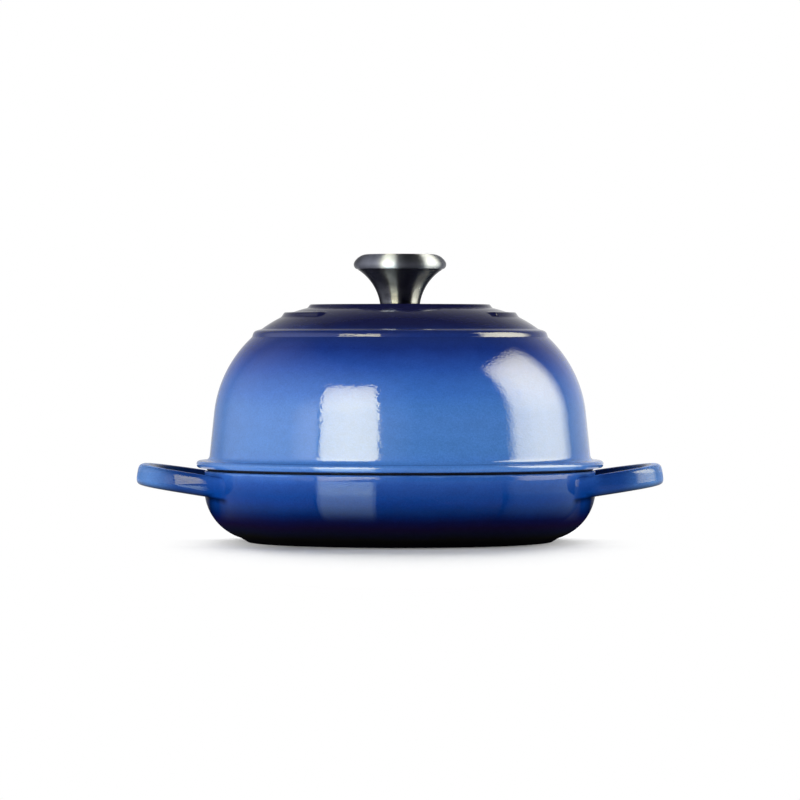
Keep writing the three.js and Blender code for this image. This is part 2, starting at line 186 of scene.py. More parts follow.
# %% [markdown]
# ## The skin of the glaze
#
# Enamel is glass powder, sprayed on and melted. It is very glossy but never quite flat: a fine
# ripple, called orange peel, frays the edge of every reflection. Its colour is sprayed too, so
# close up there is a faint speckle, and the shade drifts slowly. All three enamels share these
# effects, so they are one group. Noise on Object coordinates in metres keeps each at its real
# size.

# %% The skin of the glaze
GLAZE_SIZES = {"Ripple": 0.0018, "Speckle": 0.0007}
RIPPLE_STRETCH = 1.7
SWELL_SIZE = 0.0085
SWELL_SHARE = 1.2
DRIFT_SIZE = 0.03

glaze, given, result = new_group(
    "glaze_skin",
    "ShaderNodeTree",
    [(f"{label} size", "Float", size) for label, size in GLAZE_SIZES.items()],
    [(label, "Float") for label in ("Ripple", "Speckle", "Drift")],
)
spot = spot_on(glaze)
laid = vector(glaze, "MULTIPLY", spot, (1, 1, RIPPLE_STRETCH))[0]
fine = noise(glaze, laid, given["Ripple size"], detail=0.0)
swell = product(glaze, noise(glaze, laid, SWELL_SIZE, detail=1.0), SWELL_SHARE)
feed(glaze, result, {
    "Ripple": maths(glaze, "ADD", fine, swell),
    "Speckle": noise(glaze, spot, given["Speckle size"], detail=1.0),
    "Drift": noise(glaze, spot, DRIFT_SIZE, detail=3.0),
})
print("glaze skin:", len(glaze.nodes), "nodes")

# %% [markdown]
# ## Shaded blue enamel
#
# The enamel is shaded by hand with the spray gun: nearly black under the base, clear blue round
# the middle, dark navy on top. A colour ramp over height does this on both castings, so the two
# meet in the same blue. The slow drift shifts the height a little, because a sprayed edge is never
# a ruled line, and the glaze is a touch paler where it lies thick on a ripple. Colours are written
# as they are seen on a screen and turned into linear light for the nodes.

# %% Shaded blue enamel
GLASSINESS = 1.33
GLAZE_ROUGHNESS = (0.03, 0.08)
GRAIN = 0.07
GRAIN_SPAN = (0.3, 0.7)
POOLING = 0.06
POOLING_SPAN = (0.7, 1.5)


def seen(red, green, blue):
    """A screen colour, from 0 to 255, as the linear colour that nodes take."""
    parts = [value / 255 for value in (red, green, blue)]
    linear = [v / 12.92 if v <= 0.04045 else ((v + 0.055) / 1.055) ** 2.4 for v in parts]
    return (*linear, 1.0)


def shade_ramp(tree, level, span, stops):
    """A colour ramp over a span in millimetres, with a shade for each measured height."""
    low, high = span
    return ramp(tree, level, [((up - low) / (high - low), seen(*shade)) for up, shade in stops])


def bumped(tree, height, depth):
    """A normal that follows a height, which counts for a depth in metres."""
    inputs = {"Strength": 1.0, "Distance": depth, "Height": height}
    return place(tree, "ShaderNodeBump", inputs).outputs[0]


def glossy_enamel(name, ripple_depth):
    """A glass-like material with the glaze's skin, still without a colour."""
    material, tree, shader = new_material(name)
    skin = place(tree, "ShaderNodeGroup", node_tree=glaze)
    gloss = faded(tree, skin.outputs["Speckle"], (0, 1), GLAZE_ROUGHNESS)
    rippled = bumped(tree, skin.outputs["Ripple"], ripple_depth)
    feed(tree, shader, {"IOR": GLASSINESS, "Roughness": gloss, "Normal": rippled})
    return material, tree, shader, skin


def sprayed_height(tree, skin, span, drift_reach):
    """Height from 0 to 1 over a span in millimetres, with the spray's drift, and the spot."""
    spot = parts_of(tree, spot_on(tree))
    wander = product(tree, maths(tree, "SUBTRACT", skin.outputs["Drift"], 0.5), drift_reach * MM)
    height = maths(tree, "ADD", spot["Z"], wander)
    return faded(tree, height, [up * MM for up in span]), spot


def flecked(tree, skin, colour):
    """The colour with the grain of the spray, and paler where the glaze lies thick on a ripple."""
    grain = faded(tree, skin.outputs["Speckle"], GRAIN_SPAN, (1 - GRAIN, 1 + GRAIN))
    pool = faded(tree, skin.outputs["Ripple"], POOLING_SPAN, (1 - POOLING, 1 + POOLING))
    return vector(tree, "MULTIPLY", colour, product(tree, grain, pool))[0]


print("enamel helpers ready")

# %% Enamel of the lid
LID_HEIGHTS = (41, 147)
LID_DRIFT = 6
LID_RIPPLE = 4.0e-5
LID_SHADES = [
    (41, (70, 116, 190)),
    (51, (78, 130, 204)),
    (58, (75, 126, 195)),
    (75, (75, 124, 195)),
    (84, (70, 121, 195)),
    (92, (62, 112, 193)),
    (100, (55, 102, 184)),
    (107, (44, 85, 172)),
    (113, (36, 70, 154)),
    (119, (27, 53, 130)),
    (126, (31, 52, 118)),
    (134, (24, 28, 70)),
    (147, (24, 25, 62)),
]
lid_enamel, tree, shader, skin = glossy_enamel("shaded_lid_enamel", LID_RIPPLE)
level, _ = sprayed_height(tree, skin, LID_HEIGHTS, LID_DRIFT)
blue = shade_ramp(tree, level, LID_HEIGHTS, LID_SHADES)
feed(tree, shader, {"Base Color": flecked(tree, skin, blue)})
print("lid enamel:", len(LID_SHADES), "shades")

# %% [markdown]
# The base has its own ramp, from black at the foot to blue at the rim, with a painted highlight on
# the rim's rounded edge, which the flange shades. Its handles have dark arms and light tips, so the
# distance from the middle mixes in two more shades.

# %% Enamel of the base
BASE_HEIGHTS = (0, 48)
BASE_DRIFT = 4
BASE_RIPPLE = 1.2e-4
BASE_SHADES = [
    (0, (7, 6, 12)),
    (5, (19, 19, 19)),
    (8.5, (17, 19, 38)),
    (12, (21, 15, 44)),
    (16, (13, 17, 61)),
    (19.5, (4, 30, 87)),
    (23, (8, 45, 108)),
    (27, (9, 53, 129)),
    (31, (9, 61, 139)),
    (34.5, (24, 68, 145)),
    (38, (34, 78, 158)),
    (42.6, (50, 98, 176)),
    # The pale stop at 43.6 mm is a painted highlight on the rim's rounded edge, which the flange
    # above shades.
    (43.6, (88, 132, 200)),
    (48, (80, 126, 198)),
]
HANDLE_SHADES = [((0.115, 0.125), (24, 62, 132)), ((0.132, 0.157), (80, 126, 192))]
base_enamel, tree, shader, skin = glossy_enamel("shaded_base_enamel", BASE_RIPPLE)
level, spot = sprayed_height(tree, skin, BASE_HEIGHTS, BASE_DRIFT)
blue = shade_ramp(tree, level, BASE_HEIGHTS, BASE_SHADES)
aside = maths(tree, "ABSOLUTE", spot["X"])
for span, shade in HANDLE_SHADES:
    mix = {0: faded(tree, aside, span, smooth=True), 6: blue, 7: seen(*shade)}
    blue = place(tree, "ShaderNodeMix", mix, data_type="RGBA").outputs[2]
print("base enamel:", len(BASE_SHADES), "shades, and", len(HANDLE_SHADES), "on the handles")

# %% [markdown]
# Shade is painted into the colour inside each handle's loop, on the underside of the grip and in
# the crease below its root, where shade falls. Painted masks could mark these places; here they are
# worked out from the spot on the casting: its distance from the middle, how far it lies below the
# grip, and the squared ellipse that the loop follows.

# %% Painted shade in the loops and under the grips
LOOP_START = 0.1043
LOOP_LONG = 0.0528
LOOP_HALF = 0.0485
LOOP_POWER = 2.8
LOOP_EDGE = (0.8, 0.98)
OFF_WALL = (0.1195, 0.123)
LOOP_PAINTED_SHADE = 0.25
GRIP_FROM = 0.1205
GRIP_UP = 0.0361
GRIP_SLOPE = 0.149
GRIP_START = (0.112, 0.119)
GRIP_EDGE = (0.0028, 0.0062)
GRIP_PAINTED_SHADE = 0.3
CREASE_START = (0.1035, 0.1065)
CREASE_TOP = (0.0052, 0.0066)
CREASE_FOOT = (0.0072, 0.01)
CREASE_PAINTED_SHADE = 0.28
FALLING = (1.0, 0.0)

# Painted shade: the colour is darkened inside each loop, where the bars shade each other.
along = maths(tree, "DIVIDE", maths(tree, "SUBTRACT", aside, LOOP_START), LOOP_LONG)
across = maths(tree, "DIVIDE", maths(tree, "ABSOLUTE", spot["Y"]), LOOP_HALF)
along = maths(tree, "POWER", maths(tree, "MAXIMUM", along, 0.0), LOOP_POWER)
oval = maths(tree, "ADD", along, maths(tree, "POWER", across, LOOP_POWER))
open_air = maths(tree, "MAXIMUM", oval, faded(tree, aside, OFF_WALL, FALLING))
painted_shade = faded(tree, open_air, LOOP_EDGE, (LOOP_PAINTED_SHADE, 1.0), smooth=True)

# Painted shadow on the underside of each grip.
rise = product(tree, maths(tree, "SUBTRACT", aside, GRIP_FROM), GRIP_SLOPE)
below_grip = maths(tree, "SUBTRACT", maths(tree, "ADD", rise, GRIP_UP), spot["Z"])
painted_grip_shadow = faded(tree, below_grip, GRIP_EDGE, (1.0, GRIP_PAINTED_SHADE), smooth=True)
painted_grip_shadow = maths(tree, "MAXIMUM", painted_grip_shadow, faded(tree, aside, GRIP_START, FALLING))

# Painted shadow in the crease below each handle's root.
crease_top = faded(tree, below_grip, CREASE_TOP)
crease_foot = faded(tree, below_grip, CREASE_FOOT, FALLING)
crease = product(tree, crease_top, crease_foot, faded(tree, aside, CREASE_START))
painted_shade = product(tree, painted_shade, painted_grip_shadow, faded(tree, crease, (0, 1), (1.0, CREASE_PAINTED_SHADE)))
blue = vector(tree, "MULTIPLY", blue, painted_shade)[0]
feed(tree, shader, {"Base Color": flecked(tree, skin, blue)})
# The print gives the painted shade inside the loops and under the grips.
print("spray: down to", LOOP_PAINTED_SHADE, "in the loops and", GRIP_PAINTED_SHADE, "under the grips")

# %% [markdown]
# The base's gloss is a coat, full at the rim, thinner on the belly and gone at the foot, where the
# glaze is wiped thin before it is fired. It also thins towards the handles' roots.

# %% Gloss of the base
COAT_ROUGHNESS = 0.05
BELLY_SPAN, BELLY_COAT = (0.014, 0.026), 0.35
RIM_SPAN, RIM_COAT = (0.0427, 0.0437), 0.65
HANDLE_SPAN, HANDLE_COAT = (0.116, 0.122), 0.35
ROOT_SPAN = (0.103, 0.11)

belly = faded(tree, spot["Z"], BELLY_SPAN, (0.0, BELLY_COAT))
belly = product(tree, belly, faded(tree, aside, ROOT_SPAN, FALLING))
body = maths(tree, "ADD", belly, faded(tree, spot["Z"], RIM_SPAN, (0.0, RIM_COAT)))
handle = faded(tree, aside, HANDLE_SPAN, (0.0, HANDLE_COAT))
feed(tree, shader, {
    "Specular IOR Level": 0.0,
    "Coat Weight": maths(tree, "MAXIMUM", body, handle),
    "Coat IOR": GLASSINESS,
    "Coat Roughness": COAT_ROUGHNESS,
})
print("coat:", BELLY_COAT, "on the belly,", BELLY_COAT + RIM_COAT, "at the rim")

# %% [markdown]
# ## Black enamel
#
# Inside, and on the rims where the castings touch, the pot has a black enamel. It is satin, not
# glossy, with a grainier skin that holds a little oil, so its gloss changes from place to place.

# %% Black enamel
BLACK_RIPPLE = 2.2e-5
BLACK_RIPPLE_SIZE = 0.0013
BLACK_SPECKLE_SIZE = 0.0011
SOOT = [(0.32, seen(15, 15, 17)), (0.72, seen(44, 44, 47))]
OIL_SPAN = (0.35, 0.65)
OIL_ROUGHNESS = (0.3, 0.46)

black_enamel, tree, shader, skin = glossy_enamel("black_enamel", BLACK_RIPPLE)
feed(tree, skin, {"Ripple size": BLACK_RIPPLE_SIZE, "Speckle size": BLACK_SPECKLE_SIZE})
sooty = ramp(tree, skin.outputs["Speckle"], SOOT)
oiled = faded(tree, skin.outputs["Drift"], OIL_SPAN, OIL_ROUGHNESS)
feed(tree, shader, {"Base Color": sooty, "Roughness": oiled})
print("black enamel: roughness", OIL_ROUGHNESS)

# %% [markdown]
# ## Turned steel
#
# The knob is spun and polished on a lathe, which leaves rings too fine to see one by one; they
# stretch each reflection along the knob's side. An anisotropic shader whose tangent runs round the
# Z axis does the stretching, and a darker edge tint dims the steel where it is seen edge on. A
# noise that is read from the distance to the axis and the height alone, and so is the same all the
# way round, adds rings at no cost in mesh. The screw and the washers are turned too, so this is a
# group as well.

# %% Turned steel
RING_SIZE = 0.0003
HAZE_SIZE = 1 / 140
HAZE_SPAN = (0.3, 0.7)
HAZE_ROUGHNESS = 0.05
ALONG_THE_SIDE = 0.25

turning, given, result = new_group(
    "turned_rings",
    "ShaderNodeTree",
    [("Ring size", "Float", RING_SIZE)],
    [("Rings", "Float"), ("Haze", "Float")],
)
spot = spot_on(turning)
out = vector(turning, "LENGTH", vector(turning, "MULTIPLY", spot, (1, 1, 0))[0])["Value"]
height = parts_of(turning, spot)["Z"]
section = place(turning, "ShaderNodeCombineXYZ", {"X": out, "Y": height}).outputs[0]
feed(turning, result, {
    "Rings": noise(turning, section, given["Ring size"], detail=3.0),
    "Haze": noise(turning, spot, HAZE_SIZE, detail=4.0),
})


def turned_steel(name, dark, light, roughness, ring_depth, edge):
    """Polished steel with lathe rings and a haze; edge is how bright it is where seen edge on."""
    material, tree, shader = new_material(name)
    round_about = place(tree, "ShaderNodeTangent", direction_type="RADIAL", axis="Z")
    marks = place(tree, "ShaderNodeGroup", node_tree=turning).outputs
    roughest = (roughness - HAZE_ROUGHNESS, roughness + HAZE_ROUGHNESS)
    feed(tree, shader, {
        "Base Color": ramp(tree, marks["Haze"], [*zip(HAZE_SPAN, (seen(*dark), seen(*light)))]),
        "Metallic": 1.0,
        "Roughness": faded(tree, marks["Haze"], (0, 1), roughest),
        "Specular Tint": (edge, edge, edge, 1),
        "Anisotropic": 1.0,
        "Anisotropic Rotation": ALONG_THE_SIDE,
        "Tangent": round_about.outputs[0],
        "Normal": bumped(tree, marks["Rings"], ring_depth),
    })
    return material


STEELS = [
    ("stem_steel", (92, 94, 102), (112, 114, 122), 0.25, 1e-5, 0.3),
    ("cap_steel", (101, 104, 116), (119, 122, 134), 0.45, 1.5e-5, 0.7),
    ("screw_steel", (168, 167, 164), (190, 189, 186), 0.34, 5e-6, 1.0),
]
stem_steel, cap_steel, screw_steel = [turned_steel(*steel) for steel in STEELS]
print("steels:", stem_steel.name, cap_steel.name, screw_steel.name)

# %% [markdown]
# ## The wheel
#
# A round piece is an outline turned about the Z axis. The Screw modifier or the Spin tool could do
# it; a Geometry Nodes tree does it with the sizes as named inputs. It lays out a grid with one row
# for each point of the outline and one column for each spoke, then moves every grid point: the row
# looks up how far out and how high its outline point is, and the column gives the angle. Merging
# by distance closes the seam and the poles. The rows from "Inside from" onwards get the second
# finish, so a shell can be blue outside and black inside.

# %% The wheel
WELD = 1e-6
wheel, given, result = new_group(
    "turn_on_wheel",
    "GeometryNodeTree",
    [
        ("Outline", "Geometry", None),
        ("Outline points", "Int", 2),
        ("Spokes", "Int", 64),
        ("Inside from", "Int", 1),
        ("Outside finish", "Material", None),
        ("Inside finish", "Material", None),
    ],
    [("Piece", "Geometry")],
)
columns = maths(wheel, "ADD", given["Spokes"], 1.0)
rows = given["Outline points"]
grid = place(wheel, "GeometryNodeMeshGrid", {"Vertices X": rows, "Vertices Y": columns})
number = place(wheel, "GeometryNodeInputIndex").outputs[0]
row = maths(wheel, "FLOOR", maths(wheel, "DIVIDE", number, columns))
column = maths(wheel, "SUBTRACT", number, product(wheel, row, columns))
angle = product(wheel, column, maths(wheel, "DIVIDE", math.tau, given["Spokes"]))
where = place(wheel, "GeometryNodeInputPosition").outputs[0]
looked_up = {"Geometry": given["Outline"], "Value": where, "Index": row}
drawn = place(wheel, "GeometryNodeSampleIndex", looked_up, data_type="FLOAT_VECTOR")
point = parts_of(wheel, drawn.outputs["Value"])
turned_to = place(wheel, "ShaderNodeCombineXYZ", {
    "X": product(wheel, point["X"], maths(wheel, "COSINE", angle)),
    "Y": product(wheel, point["X"], maths(wheel, "SINE", angle)),
    "Z": point["Z"],
})
face_row = maths(wheel, "FLOOR", maths(wheel, "DIVIDE", number, given["Spokes"]))
kept_row = place(wheel, "GeometryNodeInputNamedAttribute", {"Name": "outline_row"}, data_type="INT")
just_before = maths(wheel, "SUBTRACT", given["Inside from"], 0.5)
is_inside = maths(wheel, "GREATER_THAN", kept_row.outputs[0], just_before)
on_faces = {"data_type": "INT", "domain": "FACE"}
made = grid.outputs["Mesh"]
for kind, inputs, settings in (
    ("SetPosition", {"Position": turned_to.outputs[0]}, {}),
    ("StoreNamedAttribute", {"Name": "outline_row", "Value": face_row}, on_faces),
    ("MergeByDistance", {"Distance": WELD}, {}),
    ("SetShadeSmooth", {}, {}),
    ("RealizeInstances", {}, {}),
    ("SetMaterial", {"Material": given["Outside finish"]}, {}),
    ("SetMaterial", {"Selection": is_inside, "Material": given["Inside finish"]}, {}),
):
    node = place(wheel, "GeometryNode" + kind, {"Geometry": made, **inputs}, **settings)
    made = node.outputs[0]
feed(wheel, result, {"Piece": made})
sockets = wheel.interface.items_tree
WHEEL_INPUT = {item.name: item.identifier for item in sockets if item.in_out == "INPUT"}
print("wheel:", len(wheel.nodes), "nodes, inputs", list(WHEEL_INPUT))

# %% [markdown]
# `turned` gives an outline to the wheel and keeps the result as a plain mesh, because the finished
# part can't carry a live modifier. `volume_of` measures a closed mesh: a minus sign would mean
# that its faces point inwards. `points_of` and `move_points` read and write all corners at once,
# for shapes that a wheel can't turn.

# %% Turn a piece
def new_piece(name, corners, edges, faces, finish=None):
    """A new object in the scene, from plain corners, edges and faces."""
    mesh = bpy.data.meshes.new(name)
    mesh.from_pydata(corners, edges, faces)
    if finish:
        mesh.materials.append(finish)
    piece = bpy.data.objects.new(name, mesh)
    scene.collection.objects.link(piece)
    return piece


def settled(piece):
    """The piece with its modifiers worked into a plain mesh."""
    worked = piece.evaluated_get(bpy.context.evaluated_depsgraph_get())
    mesh = bpy.data.meshes.new_from_object(worked)
    piece.modifiers.clear()
    piece.data = mesh
    mesh.name = piece.name
    return piece


def volume_of(piece):
    """Volume of a closed mesh in cubic centimetres."""
    shape = bmesh.new()
    shape.from_mesh(piece.data)
    volume = shape.calc_volume(signed=True) * 1e6
    shape.free()
    return volume


def turned(name, outline, spokes, finish, inside_finish=None, inside_from=None):
    """A piece turned from an outline of (out, up) points in millimetres."""
    points = [(out * MM, 0.0, up * MM) for out, up in outline]
    piece = new_piece(name, points, [(i, i + 1) for i in range(len(points) - 1)], [])
    modifier = piece.modifiers.new("wheel", "NODES")
    modifier.node_group = wheel
    modifier[WHEEL_INPUT["Outline points"]] = len(points)
    modifier[WHEEL_INPUT["Spokes"]] = spokes
    modifier[WHEEL_INPUT["Inside from"]] = len(points) if inside_from is None else inside_from
    modifier[WHEEL_INPUT["Outside finish"]] = finish
    modifier[WHEEL_INPUT["Inside finish"]] = inside_finish or finish
    settled(piece)
    print(f"{name}: {len(piece.data.polygons)} faces, {volume_of(piece):.1f} cubic cm")
    return piece


def points_of(piece):
    """The corners of a piece in millimetres, one in each row."""
    points = np.empty(len(piece.data.vertices) * 3)
    piece.data.vertices.foreach_get("co", points)
    return points.reshape(-1, 3) / MM


def move_points(piece, points):
    """Puts the corners of a piece at new places, in millimetres."""
    piece.data.vertices.foreach_set("co", (points * MM).ravel())
    piece.data.update()


print("turning helpers ready")

# %% [markdown]
# Outlines are drawn from straight lines, arcs and rounded corners. `rounded` rounds the corners
# that ask for it, and `finer` splits long straights, because smooth shading bends across a long
# face beside a tight rounding.

# %% Drawing outlines
def arc(middle, radius, start, end, spacing):
    """Points along a part of a circle; the angles are in degrees, from straight outwards."""
    sweep = math.radians(abs(end - start))
    angles = np.radians(np.linspace(start, end, max(3, math.ceil(sweep * radius / spacing) + 1)))
    return [(middle[0] + radius * math.cos(a), middle[1] + radius * math.sin(a)) for a in angles]


def rounded(corners, steps=6):
    """An outline through corners of (out, up), or (out, up, radius) where a corner is rounded."""
    path = []
    for place_in_line, corner in enumerate(corners):
        if len(corner) == 2:
            path.append(corner)
            continue
        here = Vector(corner[:2])
        before = (Vector(corners[place_in_line - 1][:2]) - here).normalized()
        after = (Vector(corners[place_in_line + 1][:2]) - here).normalized()
        half = before.angle(after) / 2
        middle = here + (before + after).normalized() * corner[2] / math.sin(half)
        first = here + before * corner[2] / math.tan(half) - middle
        turn = first.angle_signed(here + after * corner[2] / math.tan(half) - middle)
        for step in range(steps + 1):
            swung = -turn * step / steps
            path.append((
                middle.x + first.x * math.cos(swung) - first.y * math.sin(swung),
                middle.y + first.x * math.sin(swung) + first.y * math.cos(swung),
            ))
    return path


def finer(path, spacing):
    """The same outline with points no further apart than a spacing."""
    points = [path[0]]
    for (out_a, up_a), (out_b, up_b) in zip(path, path[1:]):
        parts = max(1, math.ceil(math.hypot(out_b - out_a, up_b - up_a) / spacing))
        points += [
            (out_a + (out_b - out_a) * part / parts, up_a + (up_b - up_a) * part / parts)
            for part in range(1, parts + 1)
        ]
    return points


print("outline tools ready")

# %% [markdown]
# ## The lid
#
# The lid is one thin casting: a locating lip, a flange, a wall that leans in a little, a round
# shoulder, and raised steps up to the flat top. Its outline is one line from the screw hole out
# over the top, down to the flange, round the lip and back up the inside, and it ends where it
# began, which closes the shell. From the underside of the flange on, the finish is black.

# %% Outline of the lid
SHOULDER_MIDDLE = (40.88, 71.7)
SHOULDER_RADIUS = 74.0
LID_WALL = 4.4
WALL_LEAN = 6
HOLE_OUT = 3.7
CEILING_UP = 141.3
FLAT_TOP_UP = 146.1
FLAT_TOP_OUT = 55.3
TOP_ROUND, TOP_FILLET = 0.9, 1.4
TOP_STEP_FOOT = 57.0
STEP_OUT = 90.1
STEP_LAND = 4.9
STEP_FALL = 1.45
STEP_FOOT = 91.1
CREASE_ROUND, STEP_ROUND, STEP_FILLET = 2.0, 3.2, 1.2
FILLET_CLEAR, STEP_CLEAR = 1.5, 1.9
DOME_FOOT_OUT = 117.6
DOME_FOOT_FILLET = 3.4
FLANGE_OUT = 125.38
FLANGE_IN = 120.4
FLANGE_LOW, FLANGE_TOP = 45.7, 50.1
FLANGE_ROUND = 2.0
SEAT_UP, SEAT_IN = 44.3, 1.7
BLACK_IN, BLACK_DOWN = 0.5, 0.2
LIP_OUT = 114.9
LIP_IN = 112.9
LIP_LOW, LIP_TOP = 41.3, 49.7
LIP_ROUND = 0.6
LID_SPOKES = 400
TOP_SPACING, WALL_SPACING, INSIDE_SPACING = 0.7, 1.6, 3.5
UPPER_SPACING, UNDER_SPACING = 2.2, 4.5


def shoulder_up(out):
    """Height of the round shoulder at a distance from the axis."""
    return SHOULDER_MIDDLE[1] + math.sqrt(SHOULDER_RADIUS**2 - (out - SHOULDER_MIDDLE[0]) ** 2)


def shoulder_turn(out):
    """Angle on the shoulder at a distance from the axis, in degrees from straight outwards."""
    return math.degrees(math.acos((out - SHOULDER_MIDDLE[0]) / SHOULDER_RADIUS))


crease_out = STEP_OUT - STEP_LAND
high_shoulder = [
    shoulder_turn(out) for out in (TOP_STEP_FOOT + FILLET_CLEAR, crease_out - FILLET_CLEAR)
]
low_shoulder = shoulder_turn(STEP_FOOT + STEP_CLEAR), WALL_LEAN
upper_side = rounded([
    (HOLE_OUT, FLAT_TOP_UP),
    (FLAT_TOP_OUT, FLAT_TOP_UP, TOP_ROUND),
    (TOP_STEP_FOOT, shoulder_up(TOP_STEP_FOOT), TOP_FILLET),
    *arc(SHOULDER_MIDDLE, SHOULDER_RADIUS, *high_shoulder, TOP_SPACING),
    (crease_out, shoulder_up(crease_out), CREASE_ROUND),
    (STEP_OUT, shoulder_up(crease_out) - STEP_FALL, STEP_ROUND),
    (STEP_FOOT, shoulder_up(STEP_FOOT), STEP_FILLET),
    *arc(SHOULDER_MIDDLE, SHOULDER_RADIUS, *low_shoulder, WALL_SPACING),
    (DOME_FOOT_OUT, FLANGE_TOP, DOME_FOOT_FILLET),
    (FLANGE_OUT, FLANGE_TOP, FLANGE_ROUND),
    (FLANGE_OUT, FLANGE_LOW, FLANGE_ROUND),
    (FLANGE_IN, FLANGE_LOW),
])
under_side = rounded([
    (FLANGE_IN - BLACK_IN, FLANGE_LOW - BLACK_DOWN),
    (FLANGE_IN - SEAT_IN, SEAT_UP),
    (LIP_OUT, SEAT_UP, LIP_ROUND / 2),
    (LIP_OUT, LIP_LOW, LIP_ROUND),
    (LIP_IN, LIP_LOW, LIP_ROUND),
    (LIP_IN, LIP_TOP),
    *arc(SHOULDER_MIDDLE, SHOULDER_RADIUS - LID_WALL, WALL_LEAN, 90, INSIDE_SPACING),
    (HOLE_OUT, CEILING_UP),
], steps=4)
upper_side = finer(upper_side, UPPER_SPACING)
under_side = finer([upper_side[-1], *under_side, upper_side[0]], UNDER_SPACING)
lid_outline = upper_side + under_side[1:]
black_from = len(upper_side) - 1
lid = turned("lid_casting", lid_outline, LID_SPOKES, lid_enamel, black_enamel, black_from)

# %% [markdown]
# The middle step is broken: it runs round the shoulder but stops on each side of a bare field at
# the front. A turned outline can't stop, so the step is raised on the finished shell. Seen from
# above it is a bent bar with round ends. Each point of the upper side finds how far it is outside
# that bar; the height falls away with that distance, and the higher of this and the shoulder wins.
# A soft maximum leaves a small fillet.

# %% The broken step
BAR_OUT = 68.6
BAR_HALF = 2.3
BAR_UP = shoulder_up(BAR_OUT - BAR_HALF)
BAR_END = 2.6
FIELD_TURN = math.radians(5.3)
FIELD_HALF = math.radians(45.35)
EDGE_ROUND = 0.9
EDGE_SLOPE = 1.7
FILLET = 1.0
REACHES_FROM, REACHES_TO = 58, 84
LOWEST = 128
SKIN_DEEP = 2


def bar_height(x, y):
    """Height of the broken step over points seen from above, in millimetres."""
    out = np.hypot(x, y)
    turn = np.arctan2(x, -y) - FIELD_TURN
    turn = np.abs(np.where(turn < -np.pi, turn + 2 * np.pi, turn))
    end_turn = FIELD_HALF + (BAR_HALF + BAR_END) / BAR_OUT
    past_end = np.maximum(0, end_turn - turn) * out
    outside = np.maximum(0, np.hypot(out - BAR_OUT, past_end) - BAR_HALF)
    curved = outside**2 * EDGE_SLOPE / (2 * EDGE_ROUND)
    straight = (outside - EDGE_ROUND / 2) * EDGE_SLOPE
    return BAR_UP - np.where(outside < EDGE_ROUND, curved, straight)


points = points_of(lid)
out = np.hypot(points[:, 0], points[:, 1])
on_top = (out > REACHES_FROM) & (out < REACHES_TO) & (points[:, 2] > LOWEST)
rise = bar_height(points[on_top, 0], points[on_top, 1])
dome = points[on_top, 2]
blend = np.maximum(FILLET - np.abs(rise - dome), 0) / FILLET
off_middle = out[on_top] - SHOULDER_MIDDLE[0]
inner_skin = SHOULDER_MIDDLE[1] + np.sqrt((SHOULDER_RADIUS - SKIN_DEEP) ** 2 - off_middle**2)
raised = np.maximum(rise, dome) + blend**2 * FILLET / 4
points[on_top, 2] = np.where(dome > inner_skin, raised, dome)
move_points(lid, points)
print("broken step raised on", int((rise > dome).sum()), "points")

# %% [markdown]
# ## The base
#
# The base is drawn as a foundry would make it: a solid outside, the handles added to it, and the
# hollow taken out with a core. The floor's baking ridges are part of the core. The Boolean that
# cuts with it is set to carry its finish over, so the hollow is black where the core has been.

# %% Outside and core of the base
BASE_OUT = 120.5
RIM_UP = 44.0
RIM_ROUND = 1.4
BELLY_MIDDLE = (89.2, 32.7)
BELLY_RADIUS = 31.3
BELLY_LOW = 2.8
FOOT_OUT = 93.7
FOOT_IN = 85.7
FOOT_ROUND = 0.5
FOOT_RECESS = 1.0
BASE_WALL = 4.8
MOUTH_OUT = 115.7
MOUTH_EASE = 0.6
FLOOR_UP = 6.2
RIDGES = 5
RIDGE_PITCH = 15.0
RIDGE_HALF = 2.6
RIDGE_UP = 1.6
RIDGE_SPACING, RIDGE_MARGIN = 0.5, 1
ABOVE = 3.0
BASE_SPOKES = 256
BELLY_SPACING, OUTSIDE_SPACING = 1.5, 3.0
HOLLOW_SPACING, CORE_SPACING = 2.0, 6.0

belly_start = math.degrees(math.asin((BELLY_LOW - BELLY_MIDDLE[1]) / BELLY_RADIUS))
outside_line = rounded([
    (0, FOOT_RECESS),
    (FOOT_IN - FOOT_RECESS, FOOT_RECESS),
    (FOOT_IN, 0),
    (FOOT_OUT, 0, FOOT_ROUND),
    *arc(BELLY_MIDDLE, BELLY_RADIUS, belly_start, 0, BELLY_SPACING),
    (BASE_OUT, RIM_UP, RIM_ROUND),
    (0, RIM_UP),
])
outside_line = finer(outside_line, OUTSIDE_SPACING)[::-1]
base = turned("base_casting", outside_line, BASE_SPOKES, base_enamel)

ridge_out = np.arange(0, BELLY_MIDDLE[0] - RIDGE_MARGIN, RIDGE_SPACING)
nearest = np.clip(np.round(ridge_out / RIDGE_PITCH), 1, RIDGES) * RIDGE_PITCH
off_ridge = np.minimum(np.abs(ridge_out - nearest) / RIDGE_HALF, 1)
ridge_up = FLOOR_UP + RIDGE_UP * (1 + np.cos(np.pi * off_ridge)) / 2
core_line = [
    *zip(ridge_out.tolist(), ridge_up.tolist()),
    *arc(BELLY_MIDDLE, BELLY_RADIUS - BASE_WALL, -90, 0, HOLLOW_SPACING),
    (MOUTH_OUT, RIM_UP - MOUTH_EASE),
    (MOUTH_OUT + MOUTH_EASE + ABOVE, RIM_UP + ABOVE),
    (0, RIM_UP + ABOVE),
]
core_line = finer(core_line, CORE_SPACING)[::-1]
core = turned("base_core", core_line, BASE_SPOKES, black_enamel)

# %% [markdown]
# Each handle is a loop of flat-sided bar that grows out of the wall with a fillet. Its middle
# line, seen from above, is half of a squared ellipse. A squared oval is carried along it, tilted
# up, and near the wall it spreads along the wall, as much as a round fillet does at that distance.
# The sections crowd towards the wall, where the shape changes most.

